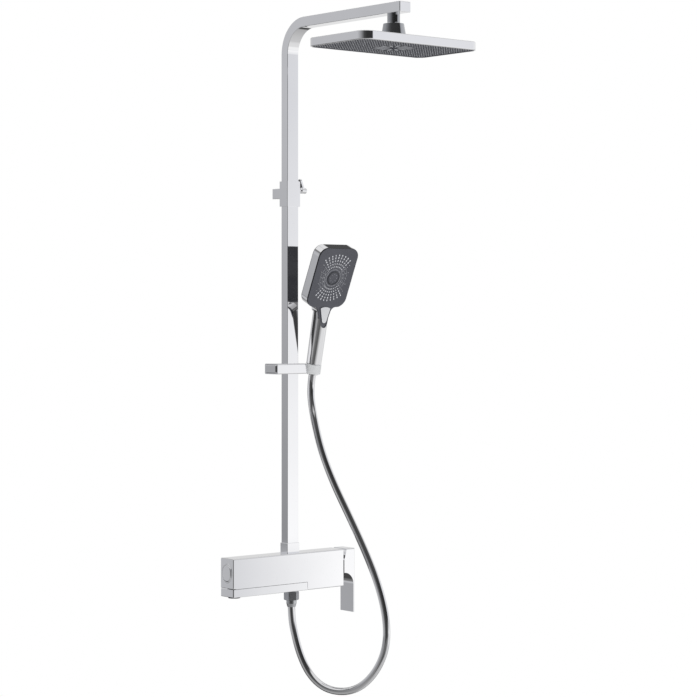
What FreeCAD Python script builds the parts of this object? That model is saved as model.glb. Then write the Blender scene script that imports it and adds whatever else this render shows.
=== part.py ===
import FreeCAD, Part

import math
import os

from FreeCAD import Placement, Rotation, Vector

# Exposed shower column: a two-inlet mixer body with a swing spout, a rectangular riser that
# bends into an overhead arm with a rain head, and a sliding holder with a hand shower.
# Millimetres. Origin: on the wall, midway between the two water inlets. Front is -Y, up is +Z.

# Clearances
SEAT = 0.1
RUN = 0.35
SHAFT_RUN = 0.06

# Riser and overhead arm
RISER_WIDTH = 28.0
RISER_THICK = 20.0
RISER_WALL = 1.8
RISER_CORNER = 0.8
RISER_FROM_WALL = 43.0
RISER_BEND_INSIDE = 50.0
ARM_TOP = 1111.0
ARM_REACH = 350.0
ARM_PLUG = 12.0
ARM_CAP = 2.5

# Mixer body
BODY_LENGTH = 284.0
BODY_DEPTH = 42.0
BODY_HEIGHT = 76.5
BODY_RIGHT = 120.5
BODY_FROM_WALL = 27.0
BODY_ABOVE_AXIS = 29.25
BODY_WALL = 3.0
BODY_EDGE = 2.2
END_PLATE_EDGE = 1.6
END_PLATE = 6.0
END_PLUG = 5.0

# Waterway inside the body
WATERWAY_RADIUS = 16.0
WATERWAY_BORE = 9.0
WATERWAY_INSET = 38.0
RISER_NIPPLE_RADIUS = 7.5
RISER_NIPPLE_LENGTH = 18.0
RISER_BOSS_RADIUS = 11.0
OUTLET_BOSS_RADIUS = 13.0
BRANCH_BORE = 5.5

# Inlets
INLET_SPACING = 150.0
INLET_RADIUS = 13.2
INLET_BORE = 8.0
INLET_OUT = 9.0
FILTER_THICK = 2.0
UNION_FLANGE = 2.5
UNION_RADIUS = 10.48
UNION_BORE = 7.5
UNION_IN_WALL = 18.0
UNION_NUT_FLATS = 36.0
UNION_NUT_LIP = 3.0
ESCUTCHEON_RADIUS = 25.0
ESCUTCHEON_SHEET = 1.6

# Diverter button on the left end
BUTTON_WIDTH = 27.0
BUTTON_HEIGHT = 33.0
BUTTON_RIM = 2.8
BUTTON_DOME = 1.6
BUTTON_PLATE = 5.0
BUTTON_TRAVEL = 5.0
BUTTON_STEM = 4.0
GLAND_FLANGE = 4.0
GLAND_PLUG = 8.0
SPOOL_LENGTH = 26.0

# Cartridge and lever on the right end
CARTRIDGE_RADIUS = 12.5
CARTRIDGE_LENGTH = 38.0
CARTRIDGE_NUT = 5.0
SPINDLE_RADIUS = 4.5
SPINDLE_GRIP = 8.0
TURRET_BLOCK = 16.0
TURRET_NECK_RADIUS = 7.0
LEVER_GAP = 2.5
LEVER_WIDTH = 28.5
LEVER_SHEET = 3.8
LEVER_DROP = 103.0
LEVER_SCOOP_TOP = 20.0
LEVER_RELIEF = 6.5
LEVER_RELIEF_FROM = 6.0
LEVER_PIN_RADIUS = 2.5
LEVER_PIN_COVER = 5.0

# Swing spout under the body
SPOUT_HEIGHT = 16.0
SPOUT_SEAM = 0.7
SPOUT_EDGE = 1.4
SPOUT_FRONT_END = 25.0
SPOUT_SKIN = 3.5
SPOUT_CHANNEL = 26.0
NIPPLE_RADIUS = 10.0
NIPPLE_SOCKET = 9.0
SEAL_THICK = 1.6
SPOUT_CLIP = 1.6
SPOUT_CLIP_RADIUS = 14.0
AERATOR_RADIUS = 11.0
AERATOR_RIM = 12.0
AERATOR_PROUD = 3.0
AERATOR_FROM_END = 18.0

# Hose fittings at the body
HOSE_RADIUS = 7.5
HOSE_NUT_FLATS = 27.0
HOSE_NUT_HEIGHT = 17.5
HOSE_NUT_LIP = 3.0
HOSE_NECK_RADIUS = 7.0
FERRULE_RADIUS = 10.5
FERRULE_LENGTH = 14.0
FERRULE_FLANGE = 2.4
FERRULE_LIP = 1.0
WASHER_THICK = 2.0

# Riser foot
COLLAR_WALL = 1.6
COLLAR_HEIGHT = 20.0
COLLAR_EDGE = 0.6
FOOT_HEIGHT = 20.0

# Wall bracket
BRACKET_Z = 757.5
BRACKET_HEIGHT = 51.0
BRACKET_WALL = 2.8
STANDOFF_WIDTH = 22.0
STANDOFF_HEIGHT = 20.5
POST_RADIUS = 6.0
POST_LENGTH = 20.0
POST_SCREW_RADIUS = 2.5
SET_SCREW_RADIUS = 2.5
SET_SCREW_SOCKET = 2.5
STANDOFF_UP = 1.4
CLAMP_UP = 8.0
CLAMP_RADIUS = 5.6
CLAMP_EDGE = 1.0
CLAMP_STEM_RADIUS = 3.0
CLAMP_STEM = 11.0
CLAMP_LENGTH = 13.5
CLAMP_WING = 24.0
CLAMP_WING_THICK = 4.0
CLAMP_WING_WIDTH = 9.0
CLAMP_WING_LEAN = 22.0

# Rain head
HEAD_WIDTH = 293.0
HEAD_DEPTH = 172.0
HEAD_CORNER = 20.0
HEAD_RIM = 16.6
HEAD_WALL = 3.0
HEAD_DROP = 87.5
HEAD_FROM_ARM_END = 31.0
HEAD_FACE = 2.4
HEAD_FACE_INSET = 1.2
HEAD_MAT = 2.0
HEAD_NOZZLE = 2.2
HEAD_NOZZLE_TIP = 1.0
HEAD_NOZZLE_PITCH = 24.0
HEAD_NOZZLE_MARGIN = 16.0
BELL_LOW_RADIUS = 25.5
BELL_TOP_RADIUS = 20.0
BELL_HEIGHT = 31.0
BELL_MOUTH_RADIUS = 10.6
BALL_RADIUS = 11.0
BALL_UP = 16.0
BALL_SEAT_WALL = 2.6
STUB_RADIUS = 12.3
STUB_NECK_RADIUS = 6.5
STUB_BORE = 4.0
STUB_LIFT = 2.4
STUB_IN_ARM = 12.0

# Sliding holder
SLIDER_Z = 402.8
SLIDER_HEIGHT = 21.0
SLIDER_LEFT = 47.0
SLIDER_RIGHT = 29.0
SLIDER_FRONT = 20.0
SLIDER_BACK = 22.0
SLIDER_CORNER = 2.5
LINER_WALL = 1.6
SLIDER_BUTTON_WIDTH = 33.0
SLIDER_BUTTON_HEIGHT = 16.0
SLIDER_BUTTON_LENGTH = 14.0
SLIDER_BUTTON_PROUD = 2.6
SLIDER_BUTTON_TRAVEL = 2.2
CRADLE_FORWARD = 19.0
CRADLE_RADIUS = 16.0
CRADLE_HEIGHT = 19.0
CRADLE_SLOT = 17.6
CRADLE_BOSS_RADIUS = 9.0
CRADLE_PIVOT_FORWARD = 9.0
CRADLE_BOLT_RADIUS = 3.5
CRADLE_BOLT_HEAD = 6.0
CRADLE_BOLT_GRIP = 9.0
CRADLE_GAP = 0.5

# Hand shower, measured along its handle from the cradle's centre
HANDLE_LEAN = 12.3
CONE_TOP_RADIUS = 12.4
CONE_LOW_RADIUS = 11.2
CONE_ABOVE = 11.0
CONE_BELOW = 12.5
HANDLE_WIDTH = 29.0
HANDLE_DEPTH = 31.0
HANDLE_LOW_DEPTH = 26.5
HANDLE_CORNER = 12.0
HANDSET_WIDTH = 99.0
HANDSET_HEIGHT = 127.5
HANDSET_CORNER = 19.5
HANDSET_UP = 193.0
HANDSET_FORWARD = 23.4
HANDSET_LEAN = 11.7
HANDSET_FACE = 4.0
HANDSET_SHELL = 19.0
HANDSET_BACK = 3.0
BACK_STEP = 1.0
BACK_ROUND = 2.1
HANDSET_SKIN = 2.6
HANDSET_NOZZLE = 1.5
HANDSET_NOZZLE_TIP = 0.8
HANDSET_ROWS = 18
HANDSET_ROW_START = 10.0
HANDSET_ROW_PITCH = 6.4
HANDSET_ROW_MARGIN = 13.0
HANDSET_DISC_RADIUS = 14.5
HANDSET_DISC_PROUD = 1.2
NECK_FILLET = 14.0
NECK_BLEND = 26.0
NECK_SECTIONS = 5
FACE_BEND = 60.0
TAIL_CHIN = 9.2
TAIL_TIP = 8.0
MODE_TOP_WIDTH = 25.0
MODE_LOW_WIDTH = 12.0
MODE_HEIGHT = 33.0
MODE_CROWN = 3.0
MODE_RIM = 5.8
MODE_LEAN = -2.6
MODE_PROUD = 2.4
MODE_DEPTH = 6.0
MODE_TRAVEL = 1.8
SPIGOT_RADIUS = 9.9
SPIGOT_LENGTH = 9.0

# Hose route: hand-picked points from the hand shower's cone to the ferrule under the body
HOSE_ROUTE = [
    (45.5, -54.2, 367.1),
    (46.0, -55.5, 335.0),
    (48.5, -65.0, 290.0),
    (53.0, -82.0, 232.0),
    (62.0, -110.0, 168.0),
    (74.0, -147.0, 100.0),
    (84.0, -183.0, 34.0),
    (93.0, -212.0, -30.0),
    (98.0, -229.0, -92.0),
    (98.0, -232.0, -148.0),
    (91.0, -216.0, -196.0),
    (78.0, -188.0, -232.0),
    (60.5, -152.0, -249.0),
    (39.0, -112.0, -245.0),
    (23.0, -80.0, -219.0),
    (11.0, -61.0, -175.0),
    (1.3, -49.2, -122.5),
    (0.0, -48.0, -100.0),
]

# Places worked out from the sizes above
RISER_Y = -RISER_FROM_WALL
STANDOFF_Z = BRACKET_Z + STANDOFF_UP
BODY_BACK = -BODY_FROM_WALL
BODY_FRONT = BODY_BACK - BODY_DEPTH
BODY_Y = BODY_BACK - BODY_DEPTH / 2
BODY_TOP = BODY_ABOVE_AXIS
BODY_BOTTOM = BODY_TOP - BODY_HEIGHT
BODY_LEFT = BODY_RIGHT - BODY_LENGTH
CASING_LEFT = BODY_LEFT + END_PLATE
CASING_RIGHT = BODY_RIGHT - END_PLATE
SPOUT_TOP = BODY_BOTTOM + SPOUT_HEIGHT
BAY_CEILING = SPOUT_TOP + SPOUT_SEAM
FLOOR_TOP = BAY_CEILING + BODY_WALL
SPOUT_END_RADIUS = math.hypot(SPOUT_FRONT_END, BODY_DEPTH / 2)
BAY_RADIUS = SPOUT_END_RADIUS + SPOUT_SEAM
INLETS = {"left": -INLET_SPACING / 2, "right": INLET_SPACING / 2}
INLET_END = BODY_BACK + INLET_OUT
UNION_FLANGE_Y = INLET_END + FILTER_THICK
UNION_BACK_Y = UNION_FLANGE_Y + UNION_FLANGE
UNION_NUT_BACK = UNION_BACK_Y + UNION_NUT_LIP
WATERWAY_LEFT = BODY_LEFT + WATERWAY_INSET
WATERWAY_RIGHT = CASING_RIGHT - CARTRIDGE_NUT
CARTRIDGE_LEFT = WATERWAY_RIGHT - CARTRIDGE_LENGTH
LEVER_LEFT = BODY_RIGHT + LEVER_GAP
LEVER_RIGHT = LEVER_LEFT + LEVER_WIDTH
LEVER_PIVOT_X = LEVER_LEFT + TURRET_BLOCK / 2 + LEVER_GAP
HOSE_NUT_TOP = BODY_BOTTOM - RUN - SPOUT_CLIP - SEAT
HOSE_NUT_LOW = HOSE_NUT_TOP - HOSE_NUT_HEIGHT
FERRULE_LOW = HOSE_NUT_LOW - FERRULE_LENGTH
NIPPLE_LOW = HOSE_NUT_LOW + HOSE_NUT_LIP + FERRULE_FLANGE + WASHER_THICK
ARM_BOTTOM = ARM_TOP - RISER_THICK
ARM_END = RISER_Y - ARM_REACH
HEAD_Y = ARM_END + HEAD_FROM_ARM_END
HEAD_BOTTOM = ARM_TOP - HEAD_DROP
HEAD_TOP = HEAD_BOTTOM + HEAD_RIM
BELL_TOP = HEAD_TOP + BELL_HEIGHT
BALL_Z = HEAD_TOP + BALL_UP
CRADLE_X = SLIDER_RIGHT + CRADLE_GAP + CRADLE_RADIUS
CRADLE_Y = RISER_Y - CRADLE_FORWARD
PIVOT_Y = RISER_Y - CRADLE_PIVOT_FORWARD
BRACKET_BACK = RISER_Y + RISER_THICK / 2 + BRACKET_WALL
BRACKET_RIGHT = RISER_WIDTH / 2 + BRACKET_WALL
CLAMP_Z = BRACKET_Z + CLAMP_UP

ALONG_X = Rotation(Vector(1, 1, 1), 120)
TOWARD_FRONT = Rotation(Vector(1, 0, 0), 90)


def box(x_from, x_to, y_from, y_to, z_from, z_to):
    """Block between two corners."""
    corner = Vector(x_from, y_from, z_from)
    return Part.makeBox(x_to - x_from, y_to - y_from, z_to - z_from, corner)


def rod(radius, start, end):
    """Round bar between two points."""
    run = Vector(*end) - Vector(*start)
    return Part.makeCylinder(radius, run.Length, Vector(*start), run)


def ring(outer, inner, start, end):
    """Round sleeve between two points."""
    return rod(outer, start, end).cut(rod(inner, start, end))


def polar(radius, degrees):
    """Point of a circle about the origin."""
    angle = math.radians(degrees)
    return Vector(radius * math.cos(angle), radius * math.sin(angle), 0)


def rounded_outline(width, depth, radius):
    """Rectangle with round corners about the origin, as one wire."""
    signs = [(1, 1), (-1, 1), (-1, -1), (1, -1)]
    arcs = []
    for quarter, (sign_x, sign_y) in enumerate(signs):
        centre = Vector(sign_x * (width / 2 - radius), sign_y * (depth / 2 - radius), 0)
        arcs.append([centre + polar(radius, 90 * quarter + turn) for turn in (0, 45, 90)])
    edges = []
    for index, (first, middle, last) in enumerate(arcs):
        edges.append(Part.Arc(first, middle, last).toShape())
        following = arcs[(index + 1) % 4][0]
        if last.distanceToPoint(following) > SEAT / 10:
            edges.append(Part.LineSegment(last, following).toShape())
    return Part.Wire(edges)


def plate(outline, thickness, holes=()):
    """Flat piece with an outline and holes, from z = 0 upwards."""
    if holes:
        face = Part.makeFace([outline, *holes], "Part::FaceMakerBullseye")
    else:
        face = Part.Face(outline)
    return face.extrude(Vector(0, 0, thickness))


def prism(width, depth, radius, length):
    """Bar of round-cornered section, from z = 0 upwards."""
    return plate(rounded_outline(width, depth, radius), length)


def moved(shape, position, rotation=Rotation()):
    """The shape turned about the origin, then moved."""
    placed = shape.copy()
    placed.Placement = Placement(Vector(*position), rotation).multiply(shape.Placement)
    return placed


def turned_profile(points, centre, axis):
    """Solid of revolution from (radius, height) points along an axis."""
    corners = [Vector(radius, 0, height) for radius, height in points]
    face = Part.Face(Part.makePolygon(corners + corners[:1]))
    solid = face.revolve(Vector(0, 0, 0), Vector(0, 0, 1), 360)
    return moved(solid, centre, Rotation(Vector(0, 0, 1), Vector(*axis)))


def hexagon(flats):
    """Regular hexagon by its width across flats."""
    corners = [polar(flats / math.sqrt(3), 60 * corner + 30) for corner in range(7)]
    return Part.makePolygon(corners)


def hex_nut(flats, height, centre, axis):
    """Hexagon bar with both ends chamfered round, from a centre along an axis."""
    bar = plate(hexagon(flats), height)
    reach = flats / math.sqrt(3)
    slope = reach - flats / 2
    trim = [
        (0, 0),
        (flats / 2, 0),
        (reach, slope / 2),
        (reach, height - slope / 2),
        (flats / 2, height),
        (0, height),
    ]
    trimmed = bar.common(turned_profile(trim, (0, 0, 0), (0, 0, 1)))
    return moved(trimmed, centre, Rotation(Vector(0, 0, 1), Vector(*axis)))


def fused(first, *others):
    """One solid from pieces that touch, with its seams removed."""
    return first.multiFuse(list(others)).removeSplitter()


# Mixer body


def body_casing():
    """Rectangular shell, open at both ends, with a bay for the spout cut from its left underside."""
    bar = moved(
        prism(BODY_DEPTH, BODY_HEIGHT, BODY_EDGE, CASING_RIGHT - CASING_LEFT),
        (CASING_LEFT, BODY_Y, BODY_TOP - BODY_HEIGHT / 2),
        ALONG_X,
    )
    front = BODY_FRONT + BODY_WALL
    back = BODY_BACK - BODY_WALL
    upper = box(BODY_LEFT, BODY_RIGHT, front, back, FLOOR_TOP, BODY_TOP - BODY_WALL)
    lower = box(BAY_RADIUS + BODY_WALL, BODY_RIGHT, front, back, BODY_BOTTOM + BODY_WALL, FLOOR_TOP)
    cuts = [spout_bay(), upper, lower]
    cuts.append(rod(RISER_NIPPLE_RADIUS + SEAT, (0, RISER_Y, 0), (0, RISER_Y, BODY_TOP)))
    cuts.append(rod(NIPPLE_RADIUS + SEAT, (0, BODY_Y, BODY_BOTTOM), (0, BODY_Y, 0)))
    for x in INLETS.values():
        cuts.append(rod(INLET_RADIUS + SEAT, (x, BODY_Y, 0), (x, 0, 0)))
    return bar.cut(cuts)


def spout_bay():
    """Room that the spout and its round end need below the body."""
    margin = BODY_WALL
    slot = box(
        BODY_LEFT - margin, 0, BODY_FRONT - margin, BODY_BACK + margin, BODY_BOTTOM - margin, BAY_CEILING
    )
    sweep = rod(BAY_RADIUS, (0, BODY_Y, BODY_BOTTOM - margin), (0, BODY_Y, BAY_CEILING))
    return slot.fuse(sweep)


def waterway():
    """Cast manifold: a main bore with two inlets, a riser nipple and an outlet boss."""
    solids = [
        rod(WATERWAY_RADIUS, (WATERWAY_LEFT, BODY_Y, 0), (WATERWAY_RIGHT, BODY_Y, 0)),
        rod(RISER_BOSS_RADIUS, (0, RISER_Y, 0), (0, RISER_Y, BODY_TOP - BODY_WALL)),
        rod(RISER_NIPPLE_RADIUS, (0, RISER_Y, 0), (0, RISER_Y, BODY_TOP + RISER_NIPPLE_LENGTH)),
        rod(OUTLET_BOSS_RADIUS, (0, BODY_Y, FLOOR_TOP), (0, BODY_Y, 0)),
    ]
    bores = [
        rod(WATERWAY_BORE, (WATERWAY_LEFT, BODY_Y, 0), (WATERWAY_RIGHT, BODY_Y, 0)),
        rod(CARTRIDGE_RADIUS + SEAT, (CARTRIDGE_LEFT, BODY_Y, 0), (WATERWAY_RIGHT, BODY_Y, 0)),
        rod(BRANCH_BORE, (0, RISER_Y, 0), (0, RISER_Y, BODY_TOP + RISER_NIPPLE_LENGTH)),
        rod(NIPPLE_RADIUS + SEAT, (0, BODY_Y, FLOOR_TOP), (0, BODY_Y, FLOOR_TOP + NIPPLE_SOCKET)),
        rod(BRANCH_BORE, (0, BODY_Y, FLOOR_TOP), (0, BODY_Y, 0)),
    ]
    for x in INLETS.values():
        solids.append(rod(INLET_RADIUS, (x, BODY_Y, 0), (x, INLET_END, 0)))
        bores.append(rod(INLET_BORE, (x, BODY_Y, 0), (x, INLET_END, 0)))
    return fused(*solids).cut(bores)


def left_end_plate():
    """Cover of the left end, with an oval hole for the diverter button."""
    height = BODY_TOP - BAY_CEILING
    centre_z = (BODY_TOP + BAY_CEILING) / 2
    cover = moved(
        prism(BODY_DEPTH, height, BODY_EDGE, END_PLATE), (BODY_LEFT, BODY_Y, centre_z), ALONG_X
    )
    rim = [edge for edge in cover.Edges if edge.BoundBox.XMax < BODY_LEFT + SEAT]
    cover = cover.makeFillet(END_PLATE_EDGE, rim)
    plug_top = BODY_TOP - BODY_WALL - SEAT
    plug_low = FLOOR_TOP + SEAT
    plug = box(
        CASING_LEFT,
        CASING_LEFT + END_PLUG,
        BODY_FRONT + BODY_WALL + SEAT,
        BODY_BACK - BODY_WALL - SEAT,
        plug_low,
        plug_top,
    )
    hole = button_oval(BUTTON_RIM + SEAT, BODY_LEFT, CASING_LEFT + END_PLUG)
    return fused(cover, plug).cut(hole)


def button_oval(grow, x_from, x_to):
    """Bar of the diverter button's oval section, grown outwards."""
    width = BUTTON_WIDTH + 2 * grow
    height = BUTTON_HEIGHT + 2 * grow
    return moved(prism(width, height, width / 2 - SEAT, x_to - x_from), (x_from, BODY_Y, 0), ALONG_X)


def button_bezel():
    """Oval ring pressed into the left end plate, which guides the button."""
    outer = button_oval(BUTTON_RIM, BODY_LEFT - BUTTON_DOME / 2, CASING_LEFT + END_PLUG)
    rim = [edge for edge in outer.Edges if edge.BoundBox.XMax < BODY_LEFT]
    outer = outer.makeFillet(BUTTON_DOME / 2, rim)
    return outer.cut(button_oval(RUN, BODY_LEFT - BUTTON_DOME, CASING_LEFT + END_PLUG))


def diverter_button():
    """Oval push button with a softened face and a stem to the spool."""
    head = button_oval(0, BODY_LEFT - BUTTON_DOME, BODY_LEFT + BUTTON_PLATE)
    rim = [edge for edge in head.Edges if edge.BoundBox.XMax < BODY_LEFT]
    head = head.makeFillet(BUTTON_DOME, rim)
    stem = rod(BUTTON_STEM, (BODY_LEFT + BUTTON_PLATE, BODY_Y, 0), (spool_left(), BODY_Y, 0))
    return fused(head, stem)


def spool_left():
    """Left end of the diverter spool at rest."""
    return WATERWAY_LEFT + GLAND_PLUG + SEAT


def diverter_gland():
    """Screwed plug of the waterway's left end, with a bore for the button's stem."""
    flange = rod(
        WATERWAY_RADIUS, (WATERWAY_LEFT - GLAND_FLANGE, BODY_Y, 0), (WATERWAY_LEFT, BODY_Y, 0)
    )
    plug = rod(
        WATERWAY_BORE - SEAT, (WATERWAY_LEFT, BODY_Y, 0), (WATERWAY_LEFT + GLAND_PLUG, BODY_Y, 0)
    )
    bore = rod(
        BUTTON_STEM + SHAFT_RUN,
        (WATERWAY_LEFT - GLAND_FLANGE, BODY_Y, 0),
        (WATERWAY_LEFT + GLAND_PLUG, BODY_Y, 0),
    )
    return fused(flange, plug).cut(bore)


def diverter_spool():
    """Valve spool with two lands and a waist."""
    land = SPOOL_LENGTH / 4
    radius = WATERWAY_BORE - RUN
    points = [
        (0, 0),
        (radius, 0),
        (radius, land),
        (BUTTON_STEM, land),
        (BUTTON_STEM, SPOOL_LENGTH - land),
        (radius, SPOOL_LENGTH - land),
        (radius, SPOOL_LENGTH),
        (0, SPOOL_LENGTH),
    ]
    return turned_profile(points, (spool_left(), BODY_Y, 0), (1, 0, 0))


def right_end_plate():
    """Cover of the right end, with a hole for the lever's turret."""
    centre_z = BODY_TOP - BODY_HEIGHT / 2
    cover = moved(
        prism(BODY_DEPTH, BODY_HEIGHT, BODY_EDGE, END_PLATE), (CASING_RIGHT, BODY_Y, centre_z), ALONG_X
    )
    hole = rod(TURRET_NECK_RADIUS + RUN, (CASING_RIGHT, BODY_Y, 0), (BODY_RIGHT, BODY_Y, 0))
    return cover.cut(hole)


def cartridge():
    """Ceramic mixing cartridge in the waterway's right end."""
    barrel = rod(CARTRIDGE_RADIUS, (CARTRIDGE_LEFT, BODY_Y, 0), (WATERWAY_RIGHT, BODY_Y, 0))
    middle = CARTRIDGE_LEFT + CARTRIDGE_LENGTH / 2
    socket = rod(SPINDLE_RADIUS + SHAFT_RUN, (middle, BODY_Y, 0), (WATERWAY_RIGHT, BODY_Y, 0))
    return barrel.cut(socket)


def cartridge_nut():
    """Ring that holds the cartridge against the waterway."""
    inner = SPINDLE_RADIUS + 2 * RUN
    return ring(
        WATERWAY_RADIUS, inner, (WATERWAY_RIGHT, BODY_Y, 0), (CASING_RIGHT - SEAT, BODY_Y, 0)
    )


def cartridge_spindle():
    """Control stem from the cartridge into the turret."""
    start = CARTRIDGE_LEFT + CARTRIDGE_LENGTH / 2 + RUN
    return rod(SPINDLE_RADIUS, (start, BODY_Y, 0), (BODY_RIGHT - END_PLATE / 2 + SPINDLE_GRIP, BODY_Y, 0))


def lever_turret():
    """Carrier that turns with the spindle and holds the lever's cross pin."""
    neck = rod(TURRET_NECK_RADIUS, (CASING_RIGHT + SEAT, BODY_Y, 0), (LEVER_PIVOT_X, BODY_Y, 0))
    half = TURRET_BLOCK / 2
    block = box(
        LEVER_PIVOT_X - half, LEVER_PIVOT_X + half, BODY_Y - half, BODY_Y + half, -half, half
    )
    socket = rod(
        SPINDLE_RADIUS + SEAT,
        (CASING_RIGHT, BODY_Y, 0),
        (BODY_RIGHT - END_PLATE / 2 + SPINDLE_GRIP + SEAT, BODY_Y, 0),
    )
    cross = rod(
        LEVER_PIN_RADIUS + SHAFT_RUN,
        (LEVER_PIVOT_X, BODY_Y - half, 0),
        (LEVER_PIVOT_X, BODY_Y + half, 0),
    )
    return fused(neck, block).cut([socket, cross])


def lever_pin():
    """Cross pin on which the lever lifts."""
    front = BODY_FRONT + LEVER_PIN_COVER
    back = BODY_BACK - RUN
    return rod(LEVER_PIN_RADIUS, (LEVER_PIVOT_X, front, 0), (LEVER_PIVOT_X, back, 0))


def lever_handle():
    """Lever in the body's own section: a hub with a relieved top, scooped below into a thin paddle."""
    scoop = LEVER_WIDTH - LEVER_SHEET
    scoop_low = -LEVER_SCOOP_TOP - scoop
    inner_x = LEVER_RIGHT - LEVER_SHEET
    arc_point = Vector(LEVER_LEFT, 0, scoop_low) + Vector(
        scoop * math.sqrt(0.5), 0, scoop * math.sqrt(0.5)
    )
    corners = [
        Vector(LEVER_LEFT, 0, -LEVER_SCOOP_TOP),
        Vector(LEVER_LEFT, 0, LEVER_RELIEF_FROM),
        Vector(LEVER_LEFT + LEVER_RELIEF, 0, BODY_TOP),
        Vector(LEVER_RIGHT, 0, BODY_TOP),
        Vector(LEVER_RIGHT, 0, -LEVER_DROP),
        Vector(inner_x, 0, -LEVER_DROP),
        Vector(inner_x, 0, scoop_low),
    ]
    edges = [Part.LineSegment(a, b).toShape() for a, b in zip(corners, corners[1:])]
    edges.append(Part.Arc(corners[-1], arc_point, corners[0]).toShape())
    side = Part.Face(Part.Wire(edges))
    side.translate(Vector(0, BODY_FRONT, 0))
    solid = side.extrude(Vector(0, BODY_DEPTH, 0))
    outer = [
        edge
        for edge in solid.Edges
        if edge.BoundBox.XMin > LEVER_RIGHT - SEAT and edge.BoundBox.ZLength > LEVER_DROP
    ]
    top = [
        edge
        for edge in solid.Edges
        if edge.BoundBox.ZMin > BODY_TOP - SEAT and edge.BoundBox.YLength < SEAT
    ]
    solid = solid.makeFillet(BODY_EDGE, outer + top)
    half = math.hypot(TURRET_BLOCK, TURRET_BLOCK) / 2 + RUN
    wide = TURRET_BLOCK / 2 + RUN
    pocket = box(BODY_RIGHT, LEVER_PIVOT_X + half, BODY_Y - wide, BODY_Y + wide, -half, half)
    bore = rod(
        LEVER_PIN_RADIUS + SHAFT_RUN / 2,
        (LEVER_PIVOT_X, BODY_FRONT + LEVER_PIN_COVER, 0),
        (LEVER_PIVOT_X, BODY_BACK, 0),
    )
    return solid.cut([pocket, bore])


# Swing spout and hose outlet


def swing_spout():
    """Flat spout that lies flush under the body and swings about the hose outlet."""
    half = BODY_DEPTH / 2
    bar = box(BODY_LEFT, 0, BODY_FRONT, BODY_BACK, BODY_BOTTOM, SPOUT_TOP)
    disc = rod(SPOUT_END_RADIUS, (0, BODY_Y, BODY_BOTTOM), (0, BODY_Y, SPOUT_TOP))
    end = disc.common(
        box(-half, SPOUT_END_RADIUS, BODY_FRONT, BODY_BACK, BODY_BOTTOM, SPOUT_TOP)
    )
    solid = fused(bar, end)
    corners = [
        edge
        for edge in solid.Edges
        if edge.BoundBox.XMax < BODY_LEFT + SEAT and edge.BoundBox.ZLength > SPOUT_HEIGHT / 2
    ]
    solid = solid.makeFillet(BODY_EDGE, corners)
    underside = min(solid.Faces, key=lambda face: face.CenterOfMass.z)
    solid = solid.makeFillet(SPOUT_EDGE, underside.OuterWire.Edges)
    channel = box(
        aerator_x(),
        0,
        BODY_Y - SPOUT_CHANNEL / 2,
        BODY_Y + SPOUT_CHANNEL / 2,
        BODY_BOTTOM + SPOUT_SKIN,
        SPOUT_TOP - SPOUT_SKIN,
    )
    pivot = rod(NIPPLE_RADIUS + RUN, (0, BODY_Y, BODY_BOTTOM), (0, BODY_Y, SPOUT_TOP))
    mouth = rod(
        AERATOR_RADIUS + SEAT,
        (aerator_x(), BODY_Y, BODY_BOTTOM),
        (aerator_x(), BODY_Y, SPOUT_TOP - SPOUT_SKIN),
    )
    return solid.cut([channel, pivot, mouth])


def aerator_x():
    """Centre of the spout's mouth."""
    return BODY_LEFT + AERATOR_FROM_END


def spout_aerator():
    """Screwed aerator insert with a proud rim and a sunk screen."""
    top = SPOUT_HEIGHT - 2 * SPOUT_SKIN
    points = [
        (0, -SEAT),
        (AERATOR_RIM - AERATOR_PROUD, -SEAT),
        (AERATOR_RIM - AERATOR_PROUD, -AERATOR_PROUD),
        (AERATOR_RIM - SEAT, -AERATOR_PROUD),
        (AERATOR_RIM, -SEAT),
        (AERATOR_RADIUS, -SEAT),
        (AERATOR_RADIUS, top),
        (0, top),
    ]
    return turned_profile(points, (aerator_x(), BODY_Y, BODY_BOTTOM), (0, 0, 1))


def outlet_nipple():
    """Hollow pivot of the spout, screwed into the waterway and threaded below for the hose nut."""
    top = FLOOR_TOP + NIPPLE_SOCKET - SEAT
    body = rod(NIPPLE_RADIUS, (0, BODY_Y, NIPPLE_LOW), (0, BODY_Y, top))
    cuts = [rod(BRANCH_BORE, (0, BODY_Y, NIPPLE_LOW), (0, BODY_Y, top))]
    for z in seal_places():
        groove = ring(
            NIPPLE_RADIUS + RUN,
            NIPPLE_RADIUS - SEAL_THICK,
            (0, BODY_Y, z - SEAT),
            (0, BODY_Y, z + SEAL_THICK + SEAT),
        )
        cuts.append(groove)
    return body.cut(cuts)


def seal_places():
    """Lower faces of the two seals inside the spout's pivot bore."""
    return [BODY_BOTTOM + SEAL_THICK / 2, SPOUT_TOP - 3 * SEAL_THICK / 2]


def spout_seals():
    """Two square rings that seal the spout on its pivot."""
    rings = []
    for z in seal_places():
        outer = NIPPLE_RADIUS + RUN / 2
        inner = NIPPLE_RADIUS - SEAL_THICK + SEAT
        rings.append(ring(outer, inner, (0, BODY_Y, z), (0, BODY_Y, z + SEAL_THICK)))
    return Part.makeCompound(rings)


def spout_clip():
    """Retaining ring on which the spout turns."""
    top = BODY_BOTTOM - RUN
    return ring(
        SPOUT_CLIP_RADIUS, NIPPLE_RADIUS + SEAT, (0, BODY_Y, top - SPOUT_CLIP), (0, BODY_Y, top)
    )


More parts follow.
